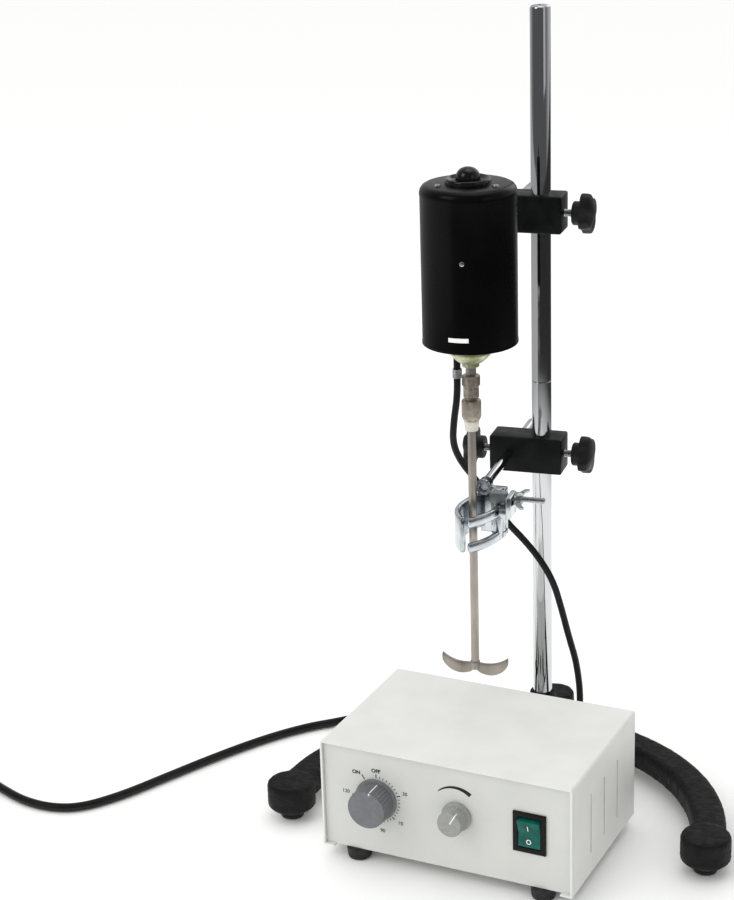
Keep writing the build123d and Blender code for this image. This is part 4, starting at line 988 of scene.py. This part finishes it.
def fingerBar(name, low, high, bend, tail, soft):
    # a rounded bar bent round a centre from its tip, then run straight on through the tail's points
    deselect()
    bpy.ops.mesh.primitive_plane_add(size=1)
    bar = named(name)
    editing(bar, "VERT")
    selectAll()
    bpy.ops.transform.resize(value=(jaws["thick"], high - low, 1))
    bpy.ops.mesh.bevel(offset=soft, segments=4, affect="VERTICES")
    deselect()
    middle = (bend["radius"], 0, (low + high) / 2)
    start, sweep = math.radians(bend["tip"]), math.radians(bend["sweep"])
    moved(bar, Matrix.Rotation(start, 4, "Z") @ Matrix.Translation(middle) @ spun(90, "X"))
    editing(bar)
    selectAll()
    bpy.ops.mesh.spin(steps=36, angle=sweep, center=(0, 0, 0), axis=(0, 0, -1))
    at = Matrix.Rotation(start + sweep, 4, "Z") @ Vector(middle)
    for x, y in tail:
        step = Vector((x - bend["x"], y - bend["y"], at.z)) - at
        bpy.ops.mesh.extrude_region_move(TRANSFORM_OT_translate={"value": step})
        at = at + step
    closedUp(bar)
    roundedTip(bar, start, -1 if sweep > 0 else 1, Vector(middle))
    return moved(bar, shifted(bend["x"], bend["y"], 0))


def roundedTip(piece, angle, direction, middle):
    # draws the bar's free end out and in again into a rounded tip
    along = Vector((-math.sin(angle), math.cos(angle), 0)) * direction
    middle = Matrix.Rotation(angle, 4, "Z") @ middle
    editing(piece)
    pickFaces(piece, lambda co, normal: (co - middle).length < 1.5 and abs(normal.dot(along)) > 0.9)
    for step, share in ((0.9, 0.93), (0.8, 0.80), (0.45, 0.55)):
        bpy.ops.mesh.extrude_region_move(TRANSFORM_OT_translate={"value": along * step})
        middle = middle + along * step
        bpy.ops.transform.resize(value=(share, share, (share + 1) / 2), center_override=middle)
    closedUp(piece)


low, high = jaws["low"] + 0.3, jaws["high"] - 0.3
fingers = []
for bottom in (low, high - jaws["fingerHigh"]):
    fingers.append(
        fingerBar("jawFinger", bottom, bottom + jaws["fingerHigh"], movingBend, [(14.5, 19), (13, 25)], 1.9)
    )
web = slab("jawWeb", (5.2, 9.5, high - low), (16.9, 8.6, (low + high) / 2), 1.2, 3)
barrel = turned(
    "barrel",
    [(2.6, low), (5.1, low), (5.5, low + 0.4), (5.5, high - 0.4), (5.1, high), (2.6, high), (2.6, low)], 40
)
moved(barrel, shifted(12, 26, 0))
ear = slab("ear", (4.4, 19.8, 17.6), (26.75, 8, 264.6), 1.2, 3)
bridge = slab("bridge", (9.5, 19.4, 7.6), (23.9, 8, 259.7), 1.0, 2)
slot = slab("slot", (14, 15, 6.4), (27, 8, 268.5), 2.4, 4)
ear = joined("ear", ear, bridge)
cutAway(ear, slot)
movingJaw = joined("movingJaw", *fingers, web, barrel, ear)
setDown(movingJaw, "moving_jaw", "clamp", ringAt, 40, node="moving_jaw")

band = fingerBar("fixedJaw", jaws["low"], jaws["high"], fixedBend, [(-8.2, 22), (-2.4, 33.6)], 1.9)
yoke = slab("yoke", (21.9, 4.4, 38.8), (6.35, 34.75, 249.5), 1.3, 3)
socket = turned(
    "socket",
    [
        (4.05, 0), (5.9, 0), (6.5, 0.6), (6.5, 3.2), (5.7, 4.2), (5.7, 10.5), (5.3, 11), (4.05, 11),
        (4.05, 0)
    ],
    48
)
moved(socket, shifted(-1, 29, 268.6) @ spun(-90, "X"))
ears = [slab("earPlate", (11, 10.6, 4.6), (12, 31, z), 1.0, 2) for z in (232.4, 266.7)]
hubs = []
for z in (230.1, 264.4):
    hub = turned(
        "earHub",
        [(2.55, z), (5.0, z), (5.5, z + 0.5), (5.5, z + 4.1), (5.0, z + 4.6), (2.55, z + 4.6), (2.55, z)],
        40
    )
    hubs.append(moved(hub, shifted(12, 26, 0)))
fixedJaw = joined("fixedJaw", band, yoke, socket, *ears, *hubs)
setDown(fixedJaw, "clamp", "clamp", ringAt, 40, node="clamp_frame")

# the top plate fans out from the pivot to the stud
plate = {"low": 264.4, "high": 268.9}
deselect()
bpy.ops.mesh.primitive_cylinder_add(
    vertices=40, radius=6.6, depth=plate["high"] - plate["low"],
    location=(12, 25.4, (plate["high"] + plate["low"]) / 2)
)
fan = named("topPlate")
editing(fan, "VERT")
pickPoints(fan, lambda co: co.y < 25.4 and co.x > 9)
bpy.ops.transform.translate(value=(4.2, -9.6, 0))
pickPoints(fan, lambda co: co.y < 25.4 and co.x <= 9)
bpy.ops.transform.translate(value=(3.4, -6.5, 0))
deselect()
eased(fan, 0.6, 2, 40)
lug = slab("lug", (13.6, 7.0, 8.2), (16.2, 12.1, 268.7), 1.0, 2)
fan = joined("topPlate", fan, lug)
setDown(fan, "clamp", "plate", ringAt, 40, node="clamp_frame")

pin = turned(
    "clampPin",
    [
        (0, 228.2), (2.6, 228.2), (3.5, 229), (3.5, 230), (2.5, 230), (2.5, 269), (3.5, 269), (3.4, 269.9),
        (2.4, 270.6), (0, 270.8)
    ],
    40
)
setDown(pin, "clamp", "screw", shifted(-12, -95, 0), 40, node="clamp_pins")
threads = [(0, 0), (1.6, 0), (2.4, 0.8)]
z = 1.2
while z < 39.4:
    threads += [(2.45, z), (2.08, z + 0.35)]
    z += 0.7
threads += [(1.7, 39.9), (0, 40)]
stud = turned("clampStud", threads, 28)
setDown(
    stud, "clamp", "screw", shifted(-11, -109, 268.5) @ spun(90, "Y"), 60, node="clamp_pins",
)

# wing nut: a turned boss and two wings drawn out of it
boss = turned(
    "wingNut", [(2.56, 0), (5.2, 0), (5.5, 0.5), (5.2, 2.4), (4.3, 5.4), (3.9, 6), (2.56, 6), (2.56, 0)], 40
)
wings = []
for side in (1, -1):
    deselect()
    bpy.ops.mesh.primitive_cube_add(size=1, location=(0, side * 4.6, 3.4))
    wing = named("wing")
    editing(wing)
    selectAll()
    bpy.ops.transform.resize(value=(2.2, 2.4, 4.4), center_override=(0, side * 4.6, 3.4))
    pickFaces(wing, lambda co, normal: normal.y * side > 0.9)
    for out, up, grow in ((1.8, 1.0, 1.0), (1.9, 1.7, 1.1), (1.3, 1.2, 0.95), (0.6, 0.3, 0.62)):
        bpy.ops.mesh.extrude_region_move(TRANSFORM_OT_translate={"value": (0, side * out, up)})
        bpy.ops.transform.resize(value=(1, 1, grow))
    closedUp(wing)
    applied(wing, "BEVEL", width=0.35, segments=2)
    applied(wing, "SUBSURF", levels=2, render_levels=2)
    wings.append(wing)
wingNut = joined("wingNut", boss, *wings)
setDown(
    wingNut, "wing_nut", "screw", shifted(5.3, -109, 268.5) @ spun(90, "Y") @ spun(20, "Z"), 50,
    node="wing_nut"
)
rod = turned("clampRod", [(0, 0), (4, 0), (4, 157.2), (3.6, 157.7), (3.2, 157.95), (0, 158)], 56)
setDown(
    rod, "clamp", "chrome", shifted(-25, -89, 268.6) @ spun(-90, "X"), 30, node="clamp_rod",
)
print("clamp made")

# ---- control box: dials
timer = {"x": -57.4, "z": 57.0, "grip": 15.5, "flutes": 36, "depth": 0.75}
outline = [
    (0, 5), (9.5, 5), (9.5, 0.8), (16.9, 0.8), (17.3, 1.2), (17.3, 2.0), (16.8, 2.4), (16.1, 2.7),
    (15.7, 3.2), (15.6, 18.5), (15.3, 19.2), (14.6, 19.5), (0, 19.5)
]
knob = turned("timerKnob", outline, 72)
fluted(knob, 3.2, 18.5, timer["grip"], timer["flutes"], timer["depth"])
timerPlace = onFront(timer["x"], timer["z"])
setDown(knob, "timer_knob", "timer", timerPlace, 25)
line = slab("timerPointer", (0.9, 0.5, 13.2), (0, 15.4, 11.6), 0.12, 1)
cap = slab("timerPointerEnd", (0.9, 2.2, 0.4), (0, 14.2, 19.4), 0.1, 1)
pointer = moved(joined("timerPointer", line, cap), spun(-12, "Z"))
setDown(pointer, "timer_knob", "white", timerPlace, 30)
for piece in (knob, pointer):
    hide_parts("timer_knob")

speed = {"x": 10.0, "z": 57.0, "grip": 10.3, "flutes": 24, "depth": 0.45, "turn": -30}
outline = [
    (0, 4), (7.2, 4), (7.2, 0.8), (11.5, 0.8), (12, 1.2), (12, 2.2), (11.3, 3.3), (10.6, 3.7), (10.4, 4.2),
    (10.2, 14.6), (9.9, 15.4), (9.3, 15.9), (8.4, 16), (0, 16)
]
knob = turned("speedKnob", outline, 48)
fluted(knob, 4.2, 14.6, speed["grip"], speed["flutes"], speed["depth"])
speedPlace = onFront(speed["x"], speed["z"]) @ spun(speed["turn"], "Z")
setDown(knob, "speed_knob", "speed", speedPlace, 25)
pointer = slab("speedPointer", (0.95, 8.4, 0.4), (0, 5.6, 15.92), 0.12, 1)
edge = slab("speedPointerEdge", (0.95, 0.5, 4), (0, 9.95, 13.9), 0.12, 1)
pointer = joined("speedPointer", pointer, edge)
setDown(pointer, "speed_knob", "white", speedPlace, 30)
for piece in (knob, pointer):
    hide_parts("speed_knob")

# ---- rocker switch
switch = {"x": 69.0, "z": 55.6, "width": 26.5, "height": 33.5, "thick": 1.8, "tilt": 8.0}
switchPlace = onFront(switch["x"], switch["z"])
bezel = slab("switchBezel", (switch["width"], switch["height"], switch["thick"]), (0, 0, 0.9), 0.5, 3)
shell = slab("shell", (21.9, 27.9, 20), (0, 0, -9.6))
bezel = joined("switchBezel", bezel, shell)
well = slab("well", (18.4, 25.6, 18), (0, 0, -4.6), 0.3, 1)
cutAway(bezel, well)
setDown(bezel, "stand", "bezel", switchPlace, 35, node="switch_housing")
deselect()
bpy.ops.mesh.primitive_cube_add(size=1, location=(0, 0, -1.2))
rocker = named("switchRocker")
editing(rocker)
selectAll()
bpy.ops.transform.resize(value=(17.9, 23.2, 7.6), center_override=(0, 0, -1.2))
bpy.ops.mesh.subdivide(number_cuts=1)
pickPoints(rocker, lambda co: co.z > 2 and abs(co.y) > 10)
bpy.ops.transform.translate(value=(0, 0, 0.9))
pickPoints(rocker, lambda co: co.z > 2 and abs(co.y) < 1)
bpy.ops.transform.translate(value=(0, 0, -1.2))
deselect()
eased(rocker, 0.6, 3, 12)
pivot = shifted(0, 0, -1) @ spun(switch["tilt"], "X") @ shifted(0, 0, 1)
setDown(rocker, "switch_rocker", "lens", switchPlace @ pivot, 20, node="switch_rocker")
slope = math.atan2(1.9, 11.6)
upMark = slab("markOn", (0.7, 4.6, 0.1), (0, 6.6, 2.62), 0.0)
moved(upMark, Matrix.Rotation(slope, 4, "X"))
ringMark = turned("markOff", [(1.35, 0), (2.0, 0), (2.0, 0.1), (1.35, 0.1), (1.35, 0)], 32)
moved(ringMark, Matrix.Rotation(-slope, 4, "X") @ shifted(0, -6.6, 2.4))
for mark in (upMark, ringMark):
    setDown(mark, "switch_rocker", "white", switchPlace @ pivot, 30, node="switch_rocker")

# ---- the panel's print
words = {
    "OFF": (-57.4, 80.8, 3.1, 0.2),
    "ON": (-74.2, 76.8, 3.1, 0.2),
    "30": (-33.4, 66.0, 3.0, 0.1),
    "60": (-37.6, 39.8, 3.0, 0.1),
    "90": (-53.0, 30.4, 3.0, 0.1),
    "120": (-83.6, 58.6, 3.0, 0.1),
}
for word, (x, z, height, weight) in words.items():
    lettering("print" + word, word, height, onFront(x, z), weight)
ticks = []
for n in range(31):
    turn = -9.0 * n
    long = n in (0, 8, 15, 22, 30)
    tick = slab(
        "tick", (0.85 if long else 0.65, 3.0 if long else 1.7, 0.06), (0, 19.6 if long else 19.0, 0.03)
    )
    ticks.append(moved(tick, spun(turn, "Z")))
tick = slab("tick", (0.9, 4.4, 0.06), (0, 20.2, 0.03))
ticks.append(moved(tick, spun(33, "Z")))
setDown(joined("dialTicks", *ticks), "stand", "ink", timerPlace, 30)

# the speed scale: an arc over the knob that swells to the right
arc = {
    "middle": (8.6, 60.2), "radius": 20.4, "from": 133, "to": 52, "thin": 0.4, "thick": 1.75, "lift": 0.03,
    "steps": 40
}
sweep = pointAt("speedScale", (arc["radius"] - arc["thin"], 0, arc["lift"]))
bpy.ops.mesh.extrude_vertices_move(TRANSFORM_OT_translate={"value": (2 * arc["thin"], 0, 0)})
selectAll()
stride = math.radians(arc["to"] - arc["from"]) / arc["steps"]
growth = (arc["thick"] - arc["thin"]) / arc["steps"]
for n in range(arc["steps"]):
    before = arc["thin"] + growth * n
    after = before + growth
    bpy.ops.mesh.spin(steps=1, angle=stride, center=(0, 0, 0), axis=(0, 0, -1))
    a = stride * (n + 1)
    middle = (arc["radius"] * math.cos(a), arc["radius"] * math.sin(a), arc["lift"])
    bpy.ops.transform.resize(value=(after / before,) * 3, center_override=middle)
deselect()
applied(sweep, "SOLIDIFY", thickness=0.05)
closedUp(sweep)
place = onFront(*arc["middle"]) @ spun(arc["from"], "Z")
setDown(sweep, "stand", "ink", place, 30)
print("front panel made")

# ---- box feet, rear fittings and plugs
foot = turned(
    "boxFoot",
    [
        (2.1, 3), (5, 3), (5, 0.2), (5.4, 0), (7.9, 0), (8.7, 0.4), (9.2, 1.6), (10, 9.6), (9.6, 10.4),
        (2.1, 10.4), (2.1, 3)
    ],
    48
)
for n, (x, y) in enumerate(((-77, -59.5), (77, -59.5), (-77, 59.5), (77, 59.5))):
    pad = copied(foot, f"boxFoot.{n}", controlBox @ shifted(x, y, 0))
    setDown(pad, "stand", "rubber", node="box_feet")
bpy.data.objects.remove(foot)

gland = [(3.55, -7.4), (5.9, -7.4), (5.9, 0), (8.1, 0), (8.5, 0.5), (8.5, 2.6), (8, 3.2), (6.2, 4)]
for n in range(5):
    gland += [
        (5.9 - 0.22 * n, 4.4 + 2.6 * n), (5.9 - 0.22 * n, 5.9 + 2.6 * n), (4.9 - 0.14 * n, 6.1 + 2.6 * n),
        (4.9 - 0.14 * n, 6.8 + 2.6 * n)
    ]
gland += [(3.55, 17), (3.55, -7.4)]
gland = turned("cordGland", gland, 48)
setDown(gland, "stand", "bezel", onRear(-62, 40), 30, node="cord_gland")

shellOutline = [
    (0, -4), (5.35, -4), (5.35, 8.1), (8.6, 8.1), (9, 8.6), (9, 15), (8.4, 16.4), (6.6, 18.8), (6.2, 19.4)
]
for n in range(3):
    shellOutline += [
        (5.6 - 0.4 * n, 20.4 + 2.4 * n), (4.8 - 0.3 * n, 21 + 2.4 * n), (4.8 - 0.3 * n, 22 + 2.4 * n)
    ]
shellOutline += [(4.2, 27.8), (0, 28)]
plug = turned("motorPlug", shellOutline, 48)
fluted(plug, 8.6, 15, 9, 24, 0.4)
setDown(plug, "stand", "bezel", onRear(33, 36), 30, node="motor_plug")

# ---- carried-over nodes and their finishes
dress = {
    "enamel": ["stand_base"],
    "rubber": ["stand_feet", "box_feet", "motor_grommet"],
    "chrome": ["post_lower", "post_upper", "motor_arm", "clamp_rod"],
    "castPaint": ["upper_head", "lower_head"],
    "nylon": ["upper_post_screw", "upper_rod_screw", "lower_post_screw", "lower_rod_screw"],
    "screw": [
        "post_fasteners", "motor_screws", "arm_nut", "box_screws", "clamp_pins", "wing_nut", "cord_ferrule",
        "plug_pins"
    ],
    "gloss": ["motor_housing", "motor_top_ring"],
    "dome": ["motor_dome"],
    "bell": ["end_bell"],
    "core": ["motor_bearings", "stator_core", "armature", "transformer"],
    "copper": ["stator_winding", "commutator"],
    "phenolic": ["brush_gear"],
    "steel": ["motor_shaft", "stirrer_shaft", "paddle"],
    "chuck": ["chuck_body", "chuck_sleeve"],
    "clamp": ["clamp_frame", "moving_jaw"],
    "cover": ["box_cover"],
    "panel": ["box_chassis"],
    "timer": ["timer_knob"],
    "speed": ["speed_knob"],
    "bezel": ["timer_body", "speed_control", "switch_housing", "cord_gland", "motor_socket", "fuse_holder"],
    "lens": ["switch_rocker"],
    "board": ["circuit_board"],
    "brass": ["board_standoffs"],
    "alloy": ["heat_sink"],
    "sheath": ["motor_plug", "mains_plug", "coil_tie"],
}
for look, nodes in dress.items():
    for node in nodes:
        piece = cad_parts[node]
        if not piece.material_slots:
            piece.data.materials.append(None)
        for place in piece.material_slots:
            place.material = finishes[look]
print("frame's nodes dressed")
